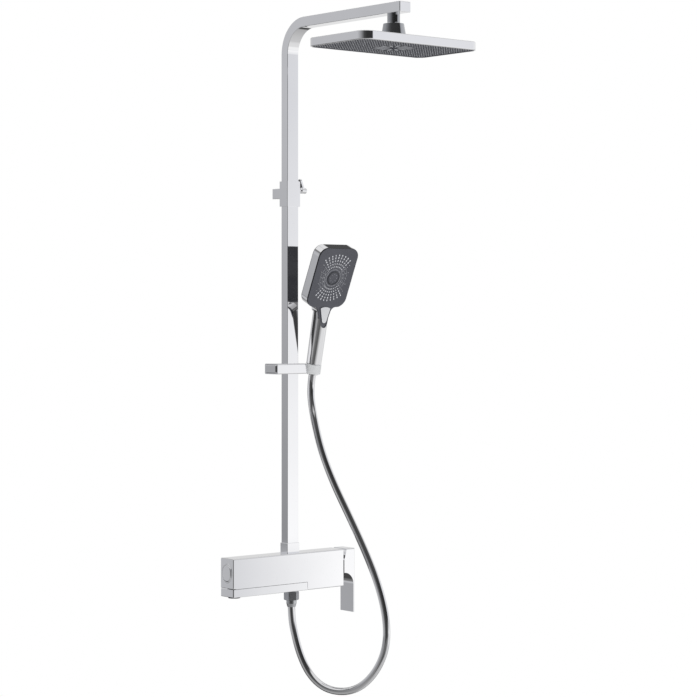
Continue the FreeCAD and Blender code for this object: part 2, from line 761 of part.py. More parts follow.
def hose_nut():
    """Hexagon nut that holds the hose on the outlet."""
    nut = hex_nut(HOSE_NUT_FLATS, HOSE_NUT_HEIGHT, (0, BODY_Y, HOSE_NUT_LOW), (0, 0, 1))
    lip = HOSE_NUT_LOW + HOSE_NUT_LIP
    thread = rod(NIPPLE_RADIUS + SEAT, (0, BODY_Y, lip), (0, BODY_Y, HOSE_NUT_TOP))
    neck = rod(HOSE_NECK_RADIUS + SEAT, (0, BODY_Y, HOSE_NUT_LOW), (0, BODY_Y, lip))
    return nut.cut([thread, neck])


def hose_ferrule():
    """Crimped end of the hose, trapped by the nut."""
    lip = HOSE_NUT_LIP + SEAT
    points = [
        (BRANCH_BORE, -FERRULE_LENGTH),
        (HOSE_RADIUS + FERRULE_LIP, -FERRULE_LENGTH),
        (FERRULE_RADIUS, -FERRULE_LENGTH / 2),
        (FERRULE_RADIUS, -SEAT),
        (HOSE_NECK_RADIUS, -SEAT),
        (HOSE_NECK_RADIUS, lip),
        (NIPPLE_RADIUS - SEAT, lip),
        (NIPPLE_RADIUS - SEAT, HOSE_NUT_LIP + FERRULE_FLANGE),
        (BRANCH_BORE, HOSE_NUT_LIP + FERRULE_FLANGE),
    ]
    return turned_profile(points, (0, BODY_Y, HOSE_NUT_LOW), (0, 0, 1))


def hose_washer():
    """Flat washer between the outlet and the hose's ferrule."""
    low = NIPPLE_LOW - WASHER_THICK
    return ring(NIPPLE_RADIUS - SEAT, BRANCH_BORE, (0, BODY_Y, low), (0, BODY_Y, NIPPLE_LOW))


# Inlet unions


def union_nut(x):
    """Hexagon nut that joins a wall union to the body."""
    height = UNION_NUT_BACK - BODY_BACK - SEAT
    nut = hex_nut(UNION_NUT_FLATS, height, (x, UNION_NUT_BACK, 0), (0, -1, 0))
    thread = rod(INLET_RADIUS + SEAT, (x, BODY_BACK, 0), (x, UNION_BACK_Y + SEAT, 0))
    neck = rod(UNION_RADIUS + SEAT, (x, BODY_BACK, 0), (x, UNION_NUT_BACK, 0))
    return nut.cut([thread, neck])


def wall_union(x):
    """Threaded stub screwed into the wall, with a flange under the nut."""
    flange = rod(INLET_RADIUS - SEAT, (x, UNION_FLANGE_Y, 0), (x, UNION_BACK_Y, 0))
    stub = rod(UNION_RADIUS, (x, UNION_FLANGE_Y, 0), (x, UNION_IN_WALL, 0))
    bore = rod(UNION_BORE, (x, UNION_FLANGE_Y, 0), (x, UNION_IN_WALL, 0))
    return fused(flange, stub).cut(bore)


def inlet_filter(x):
    """Filter washer between a union and the body."""
    inner = INLET_BORE - FILTER_THICK / 2
    return ring(INLET_RADIUS - SEAT, inner, (x, INLET_END, 0), (x, UNION_FLANGE_Y, 0))


def escutcheon(x):
    """Cover cup that hides the hole in the wall."""
    depth = -UNION_NUT_BACK - RUN
    crown = ESCUTCHEON_RADIUS - depth
    hole = UNION_RADIUS + SEAT
    points = [
        (hole, depth - ESCUTCHEON_SHEET),
        (hole, depth),
        (crown, depth),
        (ESCUTCHEON_RADIUS, ESCUTCHEON_SHEET),
        (ESCUTCHEON_RADIUS, 0),
        (ESCUTCHEON_RADIUS - ESCUTCHEON_SHEET, 0),
        (crown - ESCUTCHEON_SHEET / 2, depth - ESCUTCHEON_SHEET),
    ]
    return turned_profile(points, (x, 0, 0), (0, -1, 0))


# Riser, arm and wall bracket


def riser_band(inset):
    """Side outline of the riser and arm as a closed face in the YZ plane, drawn in by an inset."""
    back = RISER_Y + RISER_THICK / 2 - inset
    front = RISER_Y - RISER_THICK / 2 + inset
    top = ARM_TOP - inset
    under = ARM_BOTTOM + inset
    centre = Vector(0, RISER_Y - RISER_THICK / 2 - RISER_BEND_INSIDE, ARM_BOTTOM - RISER_BEND_INSIDE)
    outside = RISER_BEND_INSIDE + RISER_THICK - inset
    inside = RISER_BEND_INSIDE + inset
    low = BODY_TOP
    middle = Vector(0, math.sqrt(0.5), math.sqrt(0.5))
    bend_out = Part.Arc(
        Vector(0, back, centre.z), centre + middle * outside, Vector(0, centre.y, top)
    )
    bend_in = Part.Arc(
        Vector(0, centre.y, under), centre + middle * inside, Vector(0, front, centre.z)
    )
    edges = [
        Part.LineSegment(Vector(0, back, low), Vector(0, back, centre.z)).toShape(),
        bend_out.toShape(),
        Part.LineSegment(Vector(0, centre.y, top), Vector(0, ARM_END, top)).toShape(),
        Part.LineSegment(Vector(0, ARM_END, top), Vector(0, ARM_END, under)).toShape(),
        Part.LineSegment(Vector(0, ARM_END, under), Vector(0, centre.y, under)).toShape(),
        bend_in.toShape(),
        Part.LineSegment(Vector(0, front, centre.z), Vector(0, front, low)).toShape(),
        Part.LineSegment(Vector(0, front, low), Vector(0, back, low)).toShape(),
    ]
    return Part.Face(Part.Wire(edges))


def riser_solid(width, inset):
    """The band of the riser and arm, given a width across."""
    face = riser_band(inset)
    face.translate(Vector(-width / 2, 0, 0))
    return face.extrude(Vector(width, 0, 0))


def riser_tube():
    """Rectangular tube, bent once from the riser into the overhead arm."""
    outer = riser_solid(RISER_WIDTH, 0)
    long_edges = [
        edge
        for edge in outer.Edges
        if abs(abs(edge.CenterOfMass.x) - RISER_WIDTH / 2) < SEAT
        and edge.Length > RISER_THICK + RISER_WALL
    ]
    outer = outer.makeFillet(RISER_CORNER, long_edges)
    inner = riser_solid(RISER_WIDTH - 2 * RISER_WALL, RISER_WALL)
    hole = STUB_RADIUS - RISER_WALL + SEAT
    stub = rod(hole, (0, HEAD_Y, ARM_BOTTOM), (0, HEAD_Y, ARM_BOTTOM + RISER_WALL))
    return outer.cut([inner, stub])


def inner_prism(gap, length):
    """Bar that fits inside the riser tube with a gap."""
    inside = 2 * RISER_WALL + 2 * gap
    return box(
        -(RISER_WIDTH - inside) / 2,
        (RISER_WIDTH - inside) / 2,
        -(RISER_THICK - inside) / 2,
        (RISER_THICK - inside) / 2,
        0,
        length,
    )


def riser_foot():
    """Plug in the riser's lower end, with a bore for the waterway's nipple."""
    plug = moved(inner_prism(SEAT, FOOT_HEIGHT), (0, RISER_Y, BODY_TOP))
    bore = rod(
        RISER_NIPPLE_RADIUS + SEAT, (0, RISER_Y, BODY_TOP), (0, RISER_Y, BODY_TOP + FOOT_HEIGHT)
    )
    return plug.cut(bore)


def riser_sleeve(wall, height, centre_z):
    """Rectangular sleeve that fits round the riser."""
    outer = rounded_outline(RISER_WIDTH + 2 * wall, RISER_THICK + 2 * wall, RISER_CORNER)
    inner = rounded_outline(
        RISER_WIDTH + 2 * SEAT, RISER_THICK + 2 * SEAT, RISER_CORNER
    )
    return moved(plate(outer, height, [inner]), (0, RISER_Y, centre_z - height / 2))


def riser_collar():
    """Collar that covers the joint between the riser and the body, with a bevelled top."""
    sleeve = riser_sleeve(COLLAR_WALL, COLLAR_HEIGHT, BODY_TOP + COLLAR_HEIGHT / 2)
    face = max(sleeve.Faces, key=lambda face: face.CenterOfMass.z)
    return sleeve.makeChamfer(COLLAR_EDGE, face.OuterWire.Edges)


def bracket_collar():
    """Sleeve of the wall bracket, with a threaded hole for its clamp."""
    sleeve = riser_sleeve(BRACKET_WALL, BRACKET_HEIGHT, BRACKET_Z)
    hole = rod(
        CLAMP_STEM_RADIUS + SHAFT_RUN,
        (RISER_WIDTH / 2, RISER_Y, CLAMP_Z),
        (BRACKET_RIGHT, RISER_Y, CLAMP_Z),
    )
    return sleeve.cut(hole)


def set_screw_rod(radius):
    """Upright rod from the lower face of the stand-off to the post, where its set screw sits."""
    y = -POST_LENGTH / 2
    low = STANDOFF_Z - STANDOFF_HEIGHT / 2
    return rod(radius, (0, y, low), (0, y, STANDOFF_Z - POST_RADIUS))


def bracket_standoff():
    """Square arm from the bracket's sleeve to the wall, bored for its post and its set screw."""
    length = -BRACKET_BACK
    arm = moved(
        prism(STANDOFF_WIDTH, STANDOFF_HEIGHT, RISER_CORNER, length),
        (0, 0, STANDOFF_Z),
        TOWARD_FRONT,
    )
    bore = rod(POST_RADIUS + SEAT, (0, 0, STANDOFF_Z), (0, -POST_LENGTH - SEAT, STANDOFF_Z))
    return arm.cut([bore, set_screw_rod(SET_SCREW_RADIUS + SEAT)])


def bracket_post():
    """Round post that is screwed to the wall and carries the stand-off."""
    post = rod(POST_RADIUS, (0, 0, STANDOFF_Z), (0, -POST_LENGTH, STANDOFF_Z))
    hole = rod(POST_SCREW_RADIUS + SEAT, (0, 0, STANDOFF_Z), (0, -POST_LENGTH, STANDOFF_Z))
    sink = rod(
        2 * POST_SCREW_RADIUS + SEAT,
        (0, -POST_LENGTH / 2, STANDOFF_Z),
        (0, -POST_LENGTH, STANDOFF_Z),
    )
    return post.cut([hole, sink])


def bracket_screw():
    """Set screw that locks the stand-off on its post, with a hexagon socket in its lower end."""
    screw = set_screw_rod(SET_SCREW_RADIUS)
    socket = plate(hexagon(SET_SCREW_SOCKET), SET_SCREW_SOCKET)
    low = screw.BoundBox.ZMin
    return screw.cut(moved(socket, (0, -POST_LENGTH / 2, low)))


def clamp_lever():
    """Clamp screw of the bracket: a stem, a round hub and a leaning wing."""
    hub_left = BRACKET_RIGHT + CLAMP_STEM
    stem = rod(
        CLAMP_STEM_RADIUS,
        (RISER_WIDTH / 2 + RUN, RISER_Y, CLAMP_Z),
        (hub_left, RISER_Y, CLAMP_Z),
    )
    hub = turned_profile(
        [
            (0, 0),
            (CLAMP_RADIUS - CLAMP_EDGE, 0),
            (CLAMP_RADIUS, CLAMP_EDGE),
            (CLAMP_RADIUS, CLAMP_LENGTH - CLAMP_EDGE),
            (CLAMP_RADIUS - CLAMP_EDGE, CLAMP_LENGTH),
            (0, CLAMP_LENGTH),
        ],
        (hub_left, RISER_Y, CLAMP_Z),
        (1, 0, 0),
    )
    wing = prism(CLAMP_WING_WIDTH, CLAMP_WING, CLAMP_WING_WIDTH / 3, CLAMP_WING_THICK)
    wing = moved(wing, (0, CLAMP_WING / 2, 0))
    wing = moved(wing, (0, 0, 0), ALONG_X)
    lean = Rotation(Vector(0, 1, 0), -CLAMP_WING_LEAN)
    wing = moved(wing, (hub_left + CLAMP_LENGTH / 3, RISER_Y, CLAMP_Z), lean)
    return fused(stem, hub, wing)


def arm_cap():
    """Closing cap of the arm's end, with a plug inside the tube."""
    cap = prism(RISER_WIDTH, RISER_THICK, RISER_CORNER, ARM_CAP)
    cap = moved(cap, (0, ARM_END, ARM_TOP - RISER_THICK / 2), TOWARD_FRONT)
    rim = [edge for edge in cap.Edges if edge.BoundBox.YMax < ARM_END - ARM_CAP + SEAT]
    cap = cap.makeFillet(ARM_CAP / 2, rim)
    plug = moved(
        inner_prism(SEAT, ARM_PLUG),
        (0, ARM_END + ARM_PLUG, ARM_TOP - RISER_THICK / 2),
        TOWARD_FRONT,
    )
    return fused(cap, plug)


# Rain head


def arm_stub():
    """Fitting under the arm that ends in the ball of the swivel."""
    top = ARM_BOTTOM - BALL_Z
    low = BELL_TOP + STUB_LIFT - BALL_Z
    shoulder = math.sqrt(BALL_RADIUS**2 - STUB_NECK_RADIUS**2)
    sleeve = turned_profile(
        [
            (STUB_BORE, shoulder),
            (STUB_NECK_RADIUS, shoulder),
            (STUB_NECK_RADIUS, low),
            (STUB_RADIUS, low),
            (STUB_RADIUS, top),
            (STUB_RADIUS - RISER_WALL, top),
            (STUB_RADIUS - RISER_WALL, top + STUB_IN_ARM),
            (STUB_BORE, top + STUB_IN_ARM),
        ],
        (0, HEAD_Y, BALL_Z),
        (0, 0, 1),
    )
    ball = Part.makeSphere(BALL_RADIUS, Vector(0, HEAD_Y, BALL_Z))
    bore = rod(STUB_BORE, (0, HEAD_Y, BALL_Z - BALL_RADIUS), (0, HEAD_Y, ARM_BOTTOM))
    return fused(sleeve, ball).cut(bore)


def ball_seat():
    """Round bearing ring between the ball and the swivel bell."""
    inner = BALL_RADIUS + RUN
    outer = inner + BALL_SEAT_WALL
    centre = Vector(0, HEAD_Y, BALL_Z)
    half = BALL_RADIUS / 2
    band = rod(outer, (0, HEAD_Y, BALL_Z - half), (0, HEAD_Y, BALL_Z + half))
    return band.common(Part.makeSphere(outer, centre)).cut(Part.makeSphere(inner, centre))


def swivel_bell():
    """Tapered bell nut of the head, hollow for the ball and its seat."""
    outside = [
        (0, 0),
        (BELL_LOW_RADIUS, 0),
        (BELL_TOP_RADIUS, BELL_HEIGHT),
        (0, BELL_HEIGHT),
    ]
    bell = turned_profile(outside, (0, HEAD_Y, HEAD_TOP), (0, 0, 1))
    room = BALL_RADIUS + RUN + BALL_SEAT_WALL + RUN
    cavity = Part.makeSphere(room, Vector(0, HEAD_Y, BALL_Z))
    below = rod(room, (0, HEAD_Y, HEAD_TOP), (0, HEAD_Y, BALL_Z))
    mouth = rod(BELL_MOUTH_RADIUS, (0, HEAD_Y, BALL_Z), (0, HEAD_Y, BELL_TOP))
    return bell.cut([cavity, below, mouth])


def head_shell():
    """Tray of the rain head: a flat top with a deep rim and a water inlet."""
    outer = prism(HEAD_WIDTH, HEAD_DEPTH, HEAD_CORNER, HEAD_RIM)
    rims = [edge for edge in outer.Edges if edge.BoundBox.ZLength < SEAT]
    outer = outer.makeFillet(HEAD_WALL / 2, rims)
    inside = moved(
        prism(
            HEAD_WIDTH - 2 * HEAD_WALL,
            HEAD_DEPTH - 2 * HEAD_WALL,
            HEAD_CORNER - HEAD_WALL,
            HEAD_RIM - HEAD_WALL,
        ),
        (0, 0, 0),
    )
    inlet = rod(STUB_NECK_RADIUS, (0, 0, 0), (0, 0, HEAD_RIM))
    return moved(outer.cut([inside, inlet]), (0, HEAD_Y, HEAD_BOTTOM))


def head_nozzle_places():
    """Nozzle centres: a staggered grid over the face, clear of its rim and its middle."""
    across = HEAD_WIDTH / 2 - HEAD_WALL - HEAD_NOZZLE_MARGIN
    along = HEAD_DEPTH / 2 - HEAD_WALL - HEAD_NOZZLE_MARGIN
    columns = int(across / HEAD_NOZZLE_PITCH)
    rows = int(along / HEAD_NOZZLE_PITCH)
    places = []
    for row in range(-rows, rows + 1):
        for column in range(-columns, columns + 1):
            if row or column:
                places.append(Vector(column * across / columns, row * along / rows, 0))
    return places


def hexagons(radius, places):
    """Small hexagons about a list of places."""
    return [moved(hexagon(radius * math.sqrt(3)), place) for place in places]


def head_face():
    """Face plate of the rain head, pierced for its nozzles."""
    outline = rounded_outline(
        HEAD_WIDTH - 2 * HEAD_WALL - 2 * SEAT,
        HEAD_DEPTH - 2 * HEAD_WALL - 2 * SEAT,
        HEAD_CORNER - HEAD_WALL,
    )
    holes = hexagons(HEAD_NOZZLE + SEAT, head_nozzle_places())
    sheet = plate(outline, HEAD_FACE, holes)
    return moved(sheet, (0, HEAD_Y, HEAD_BOTTOM + HEAD_FACE_INSET))


def nozzle_mat(outline, thickness, reach, base, tip, places):
    """Soft sheet with tapered nozzles that stand through the face below it."""
    sheet = plate(outline, thickness)
    nozzles = []
    for place in places:
        wide = hexagon(base * math.sqrt(3))
        narrow = moved(hexagon(tip * math.sqrt(3)), (0, 0, -reach))
        nozzle = Part.makeLoft([narrow, wide], True, True)
        nozzles.append(moved(nozzle, place))
    return sheet.multiFuse(nozzles)


def head_nozzles():
    """Nozzle mat of the rain head."""
    outline = rounded_outline(
        HEAD_WIDTH - 4 * HEAD_WALL, HEAD_DEPTH - 4 * HEAD_WALL, HEAD_CORNER - 2 * HEAD_WALL
    )
    mat = nozzle_mat(
        outline,
        HEAD_MAT,
        HEAD_FACE + HEAD_FACE_INSET,
        HEAD_NOZZLE,
        HEAD_NOZZLE_TIP,
        head_nozzle_places(),
    )
    return moved(mat, (0, HEAD_Y, HEAD_BOTTOM + HEAD_FACE_INSET + HEAD_FACE))


# Sliding holder


def slider_body():
    """Bar of the sliding holder: a sleeve round the riser, with a button well on its left."""
    depth = SLIDER_FRONT + SLIDER_BACK
    centre_y = RISER_Y + (SLIDER_BACK - SLIDER_FRONT) / 2
    bar = moved(
        prism(depth, SLIDER_HEIGHT, SLIDER_CORNER, SLIDER_LEFT + SLIDER_RIGHT),
        (-SLIDER_LEFT, centre_y, SLIDER_Z),
        ALONG_X,
    )
    passage = rounded_outline(
        RISER_WIDTH + 2 * RUN + 2 * LINER_WALL + 2 * SEAT,
        RISER_THICK + 2 * RUN + 2 * LINER_WALL + 2 * SEAT,
        RISER_CORNER,
    )
    passage = moved(plate(passage, SLIDER_HEIGHT), (0, RISER_Y, SLIDER_Z - SLIDER_HEIGHT / 2))
    well = moved(
        prism(
            SLIDER_BUTTON_WIDTH + 2 * RUN,
            SLIDER_BUTTON_HEIGHT + 2 * RUN,
            SLIDER_CORNER + RUN,
            SLIDER_BUTTON_LENGTH + SLIDER_BUTTON_TRAVEL + RUN,
        ),
        (-SLIDER_LEFT, centre_y, SLIDER_Z),
        ALONG_X,
    )
    bolt = rod(
        CRADLE_BOLT_RADIUS + SHAFT_RUN,
        (SLIDER_RIGHT - CRADLE_BOLT_GRIP, PIVOT_Y, SLIDER_Z),
        (SLIDER_RIGHT, PIVOT_Y, SLIDER_Z),
    )
    return bar.cut([passage, well, bolt])


def slider_liner():
    """Smooth liner of the sleeve, which runs on the riser."""
    outer = rounded_outline(
        RISER_WIDTH + 2 * RUN + 2 * LINER_WALL, RISER_THICK + 2 * RUN + 2 * LINER_WALL, RISER_CORNER
    )
    inner = rounded_outline(RISER_WIDTH + 2 * RUN, RISER_THICK + 2 * RUN, RISER_CORNER)
    return moved(
        plate(outer, SLIDER_HEIGHT, [inner]), (0, RISER_Y, SLIDER_Z - SLIDER_HEIGHT / 2)
    )


def slider_button():
    """Release button in the holder's left end."""
    centre_y = RISER_Y + (SLIDER_BACK - SLIDER_FRONT) / 2
    button = moved(
        prism(
            SLIDER_BUTTON_WIDTH,
            SLIDER_BUTTON_HEIGHT,
            SLIDER_CORNER,
            SLIDER_BUTTON_LENGTH + SLIDER_BUTTON_PROUD,
        ),
        (-SLIDER_LEFT - SLIDER_BUTTON_PROUD, centre_y, SLIDER_Z),
        ALONG_X,
    )
    rim = [edge for edge in button.Edges if edge.BoundBox.XMax < -SLIDER_LEFT]
    return button.makeFillet(SLIDER_BUTTON_PROUD / 2, rim)


def lean_handset(shape):
    """Put a piece drawn about the handle's own axis into the leaning cradle."""
    return moved(shape, (CRADLE_X, CRADLE_Y, SLIDER_Z), Rotation(Vector(1, 0, 0), HANDLE_LEAN))


def cone_radius(height, gap):
    """Radius of the hose cone at a height along the handle."""
    share = (height + CONE_BELOW) / (CONE_ABOVE + CONE_BELOW)
    return CONE_LOW_RADIUS + (CONE_TOP_RADIUS - CONE_LOW_RADIUS) * share + gap


def cradle():
    """Pivoting ring that holds the hand shower, open on its outer side for the hose."""
    half = CRADLE_HEIGHT / 2
    ring_solid = rod(CRADLE_RADIUS, (0, 0, -half), (0, 0, half))
    ring_solid = lean_handset(ring_solid)
    left = SLIDER_RIGHT + CRADLE_GAP
    boss = rod(CRADLE_BOSS_RADIUS, (left, PIVOT_Y, SLIDER_Z), (CRADLE_X, PIVOT_Y, SLIDER_Z))
    solid = fused(ring_solid, boss)
    bore = turned_profile(
        [
            (0, -CRADLE_HEIGHT),
            (cone_radius(-CRADLE_HEIGHT, RUN), -CRADLE_HEIGHT),
            (cone_radius(CRADLE_HEIGHT, RUN), CRADLE_HEIGHT),
            (0, CRADLE_HEIGHT),
        ],
        (0, 0, 0),
        (0, 0, 1),
    )
    slot = box(0, 2 * CRADLE_RADIUS, -CRADLE_SLOT / 2, CRADLE_SLOT / 2, -CRADLE_HEIGHT, CRADLE_HEIGHT)
    clear_bolt = rod(
        CRADLE_BOLT_RADIUS + SHAFT_RUN / 2,
        (left, PIVOT_Y, SLIDER_Z),
        (left + CRADLE_BOLT_HEAD, PIVOT_Y, SLIDER_Z),
    )
    return solid.cut([lean_handset(bore), lean_handset(slot), clear_bolt])


def cradle_bolt():
    """Pivot bolt of the cradle."""
    return rod(
        CRADLE_BOLT_RADIUS,
        (SLIDER_RIGHT - CRADLE_BOLT_GRIP + SEAT, PIVOT_Y, SLIDER_Z),
        (SLIDER_RIGHT + CRADLE_GAP + CRADLE_BOLT_HEAD - SEAT, PIVOT_Y, SLIDER_Z),
    )


# Hand shower


def head_place(shape):
    """Put a piece drawn on the head's face plane, +Y down it and +Z into it, onto the upright handle."""
    inward = Rotation(Vector(1, 0, 0), -90)
    lean = Rotation(Vector(1, 0, 0), HANDSET_LEAN)
    placed = moved(shape, (0, 0, 0), inward)
    return moved(placed, (0, -HANDSET_FORWARD, HANDSET_UP), lean)


def handset_head_frame(shape):
    """Put a piece drawn on the head's face plane onto the leaning hand shower."""
    return lean_handset(head_place(shape))


def upward(lean):
    """Direction up a plane that leans forward on the handle."""
    return Rotation(Vector(1, 0, 0), lean).multVec(Vector(0, 0, 1))


def inward(lean):
    """Direction into a plane that leans forward on the handle."""
    return Rotation(Vector(1, 0, 0), lean).multVec(Vector(0, 1, 0))


def face_fold():
    """Point where the head's face plane turns into the plane of the face's tail."""
    middle = Vector(0, -HANDSET_FORWARD, HANDSET_UP)
    return middle - upward(HANDSET_LEAN) * (HANDSET_HEIGHT / 2)


def face_band(front, back):
    """Bent sheet that follows the face from head to tail, between two depths behind its surface."""
    half_turn = math.radians(HANDSET_LEAN - MODE_LEAN) / 2
    bisector = inward((HANDSET_LEAN + MODE_LEAN) / 2)
    centre = face_fold() - bisector * (FACE_BEND / math.cos(half_turn))
    reach = 2 * HANDSET_HEIGHT

    def stations(depth):
        radius = FACE_BEND + depth
        head_end = centre + inward(HANDSET_LEAN) * radius
        tail_end = centre + inward(MODE_LEAN) * radius
        middle = centre + bisector * radius
        far_head = head_end + upward(HANDSET_LEAN) * reach
        far_tail = tail_end - upward(MODE_LEAN) * reach
        return far_head, head_end, middle, tail_end, far_tail

    near = stations(front)
    far = stations(back)
    edges = [
        Part.LineSegment(near[0], near[1]).toShape(),
        Part.Arc(near[1], near[2], near[3]).toShape(),
        Part.LineSegment(near[3], near[4]).toShape(),
        Part.LineSegment(near[4], far[4]).toShape(),
        Part.LineSegment(far[4], far[3]).toShape(),
        Part.Arc(far[3], far[2], far[1]).toShape(),
        Part.LineSegment(far[1], far[0]).toShape(),
        Part.LineSegment(far[0], near[0]).toShape(),
    ]
    side = Part.Face(Part.Wire(edges))
    side.translate(Vector(-HANDSET_WIDTH, 0, 0))
    return side.extrude(Vector(2 * HANDSET_WIDTH, 0, 0))


def filleted_neck(head, neck, half_width, edge_y):
    """Head and neck bars joined, with round inside corners where the neck leaves the head."""
    solid = fused(head, neck)
    corners = [
        edge
        for edge in solid.Edges
        if edge.BoundBox.ZLength > SEAT
        and abs(abs(edge.CenterOfMass.x) - half_width) < SEAT
        and abs(edge.CenterOfMass.y - edge_y) < SEAT
    ]
    return solid.makeFillet(NECK_FILLET, corners)


def face_blank(grow, low, high):
    """Bar of the face's outline: the head's rectangle and a tapered tail round the mode button."""
    foreshortened = math.cos(math.radians(HANDSET_LEAN - MODE_LEAN))
    edge_y = HANDSET_HEIGHT / 2
    top = MODE_TOP_WIDTH / 2 + MODE_RIM + grow
    tip = TAIL_TIP + grow
    drop = (MODE_HEIGHT + TAIL_CHIN) * foreshortened - TAIL_TIP
    tangent = math.degrees(math.acos(tip / math.hypot(top, drop)) - math.atan2(drop, top))
    tip_centre = Vector(0, edge_y + drop, 0)
    corners = [
        tip_centre + polar(tip, tangent),
        tip_centre + polar(tip, 90),
        tip_centre + polar(tip, 180 - tangent),
        Vector(-top, edge_y, 0),
        Vector(-top, edge_y - HANDSET_CORNER, 0),
        Vector(top, edge_y - HANDSET_CORNER, 0),
        Vector(top, edge_y, 0),
    ]
    edges = [Part.Arc(*corners[:3]).toShape()]
    for first, last in zip(corners[2:], corners[3:] + corners[:1]):
        edges.append(Part.LineSegment(first, last).toShape())
    tail = plate(Part.Wire(edges), high - low)
    head = prism(HANDSET_WIDTH, HANDSET_HEIGHT, HANDSET_CORNER, high - low)
    return moved(filleted_neck(head, tail, top, edge_y), (0, 0, low))


def frame_blank():
    """Bar of the shell's outline: the head's rectangle with a neck that narrows into the handle."""
    edge_y = HANDSET_HEIGHT / 2
    half = HANDLE_WIDTH / 2
    taper_y = edge_y + NECK_FILLET + SEAT
    end_y = edge_y + NECK_BLEND
    end_half = half - HANDLE_CORNER
    corners = [
        Vector(-half, edge_y - HANDSET_CORNER, 0),
        Vector(half, edge_y - HANDSET_CORNER, 0),
        Vector(half, taper_y, 0),
        Vector(end_half, end_y, 0),
        Vector(-end_half, end_y, 0),
        Vector(-half, taper_y, 0),
    ]
    neck = plate(Part.makePolygon(corners + corners[:1]), HANDSET_SHELL)
    head = prism(HANDSET_WIDTH, HANDSET_HEIGHT, HANDSET_CORNER, HANDSET_SHELL)
    return moved(filleted_neck(head, neck, half, edge_y), (0, 0, HANDSET_FACE))


def handle_section(depth, height, forward=0, lean=0):
    """Round-cornered section of the handle at a height, moved forward and leaned."""
    outline = rounded_outline(HANDLE_WIDTH, depth, HANDLE_CORNER * depth / HANDLE_DEPTH)
    return moved(outline, (0, -forward, height), Rotation(Vector(1, 0, 0), lean))


def handset_neck(neck_low):
    """Smooth run from the handle's section into the thinner frame of the head."""
    into_frame = face_fold() + inward(HANDSET_LEAN) * (HANDSET_FACE + HANDSET_SHELL / 2)
    sections = []
    for step in range(NECK_SECTIONS + 1):
        share = step / NECK_SECTIONS
        ease = share * share * (3 - 2 * share)
        depth = HANDLE_DEPTH + (HANDSET_SHELL - HANDLE_DEPTH) * ease
        height = neck_low + (into_frame.z - neck_low) * share
        sections.append(handle_section(depth, height, -into_frame.y * ease, HANDSET_LEAN * ease))
    return Part.makeLoft(sections, True, False)


def behind_neck(neck_low):
    """Wedge behind the straight line from the head's lower rear edge to the back of the handle."""
    head_edge = face_fold() + inward(HANDSET_LEAN) * (HANDSET_FACE + HANDSET_SHELL)
    handle_back = Vector(0, HANDLE_DEPTH / 2, neck_low)
    away = Vector(0, HANDLE_DEPTH, 0)
    corners = [head_edge, handle_back, handle_back + away, head_edge + away, head_edge]
    side = Part.Face(Part.makePolygon(corners))
    side.translate(Vector(-HANDSET_WIDTH / 2, 0, 0))
    return side.extrude(Vector(HANDSET_WIDTH, 0, 0))


def handset_shell():
    """Middle shell of the hand shower: handle, neck and the frame of the head."""
    neck_low = face_fold().z - NECK_BLEND
    grip_ends = [
        handle_section(HANDLE_LOW_DEPTH, CONE_ABOVE + SEAT),
        handle_section(HANDLE_DEPTH, neck_low),
    ]
    grip = Part.makeLoft(grip_ends, True, True)
    spigot = rod(SPIGOT_RADIUS, (0, 0, CONE_ABOVE - SPIGOT_LENGTH + SEAT), (0, 0, CONE_ABOVE + NECK_BLEND))
    solid = fused(grip, spigot, handset_neck(neck_low), head_place(frame_blank()))
    chamber = prism(
        HANDSET_WIDTH - 4 * HANDSET_SKIN,
        HANDSET_HEIGHT - 4 * HANDSET_SKIN,
        HANDSET_CORNER - 2 * HANDSET_SKIN,
        HANDSET_SHELL + HANDSET_BACK,
    )
    chamber = head_place(moved(chamber, (0, 0, HANDSET_FACE)))
    face_room = head_place(face_blank(SEAT, -HANDSET_UP / 4, HANDSET_UP / 4))
    face_room = face_room.common(face_band(-FACE_BEND / 2, HANDSET_FACE))
    cover_room = back_blank(2 * SEAT, 2 * HANDSET_BACK)
    well = mode_button_prism(RUN, -MODE_DEPTH - MODE_TRAVEL - RUN, MODE_PROUD)
    bore = rod(STUB_BORE, (0, 0, 0), (0, 0, neck_low / 2))
    return lean_handset(
        solid.cut([chamber, face_room, cover_room, well, bore, behind_neck(neck_low)])
    )


def back_blank(grow, thickness):
    """Bar of the rear cover's outline, placed on the back of the shell."""
    width = HANDSET_WIDTH - BACK_STEP + grow
    height = HANDSET_HEIGHT - BACK_STEP + grow
    cover = prism(width, height, HANDSET_CORNER, thickness)
    return head_place(moved(cover, (0, 0, HANDSET_FACE + HANDSET_SHELL)))


def handset_back():
    """Rear cover of the hand shower's head, with a rounded edge."""
    cover = back_blank(0, HANDSET_BACK)
    outer = inward(HANDSET_LEAN)
    level = max(vertex.Point.dot(outer) for vertex in cover.Vertexes)
    rim = [
        edge
        for edge in cover.Edges
        if min(vertex.Point.dot(outer) for vertex in edge.Vertexes) > level - SEAT
    ]
    return lean_handset(cover.makeFillet(BACK_ROUND, rim))


def handset_nozzle_places():
    """Nozzle centres of the hand shower: radial rows that run from the disc towards the rim."""
    places = []
    start = HANDSET_DISC_RADIUS + HANDSET_ROW_START
    for spoke in range(HANDSET_ROWS):
        angle = 360 / HANDSET_ROWS * spoke
        upright = abs(math.sin(math.radians(angle)))
        reach = HANDSET_WIDTH / 2 + (HANDSET_HEIGHT - HANDSET_WIDTH) / 2 * upright - HANDSET_ROW_MARGIN
        count = int((reach - start) / HANDSET_ROW_PITCH) + 1
        places.extend(polar(start + step * HANDSET_ROW_PITCH, angle) for step in range(count))
    return places


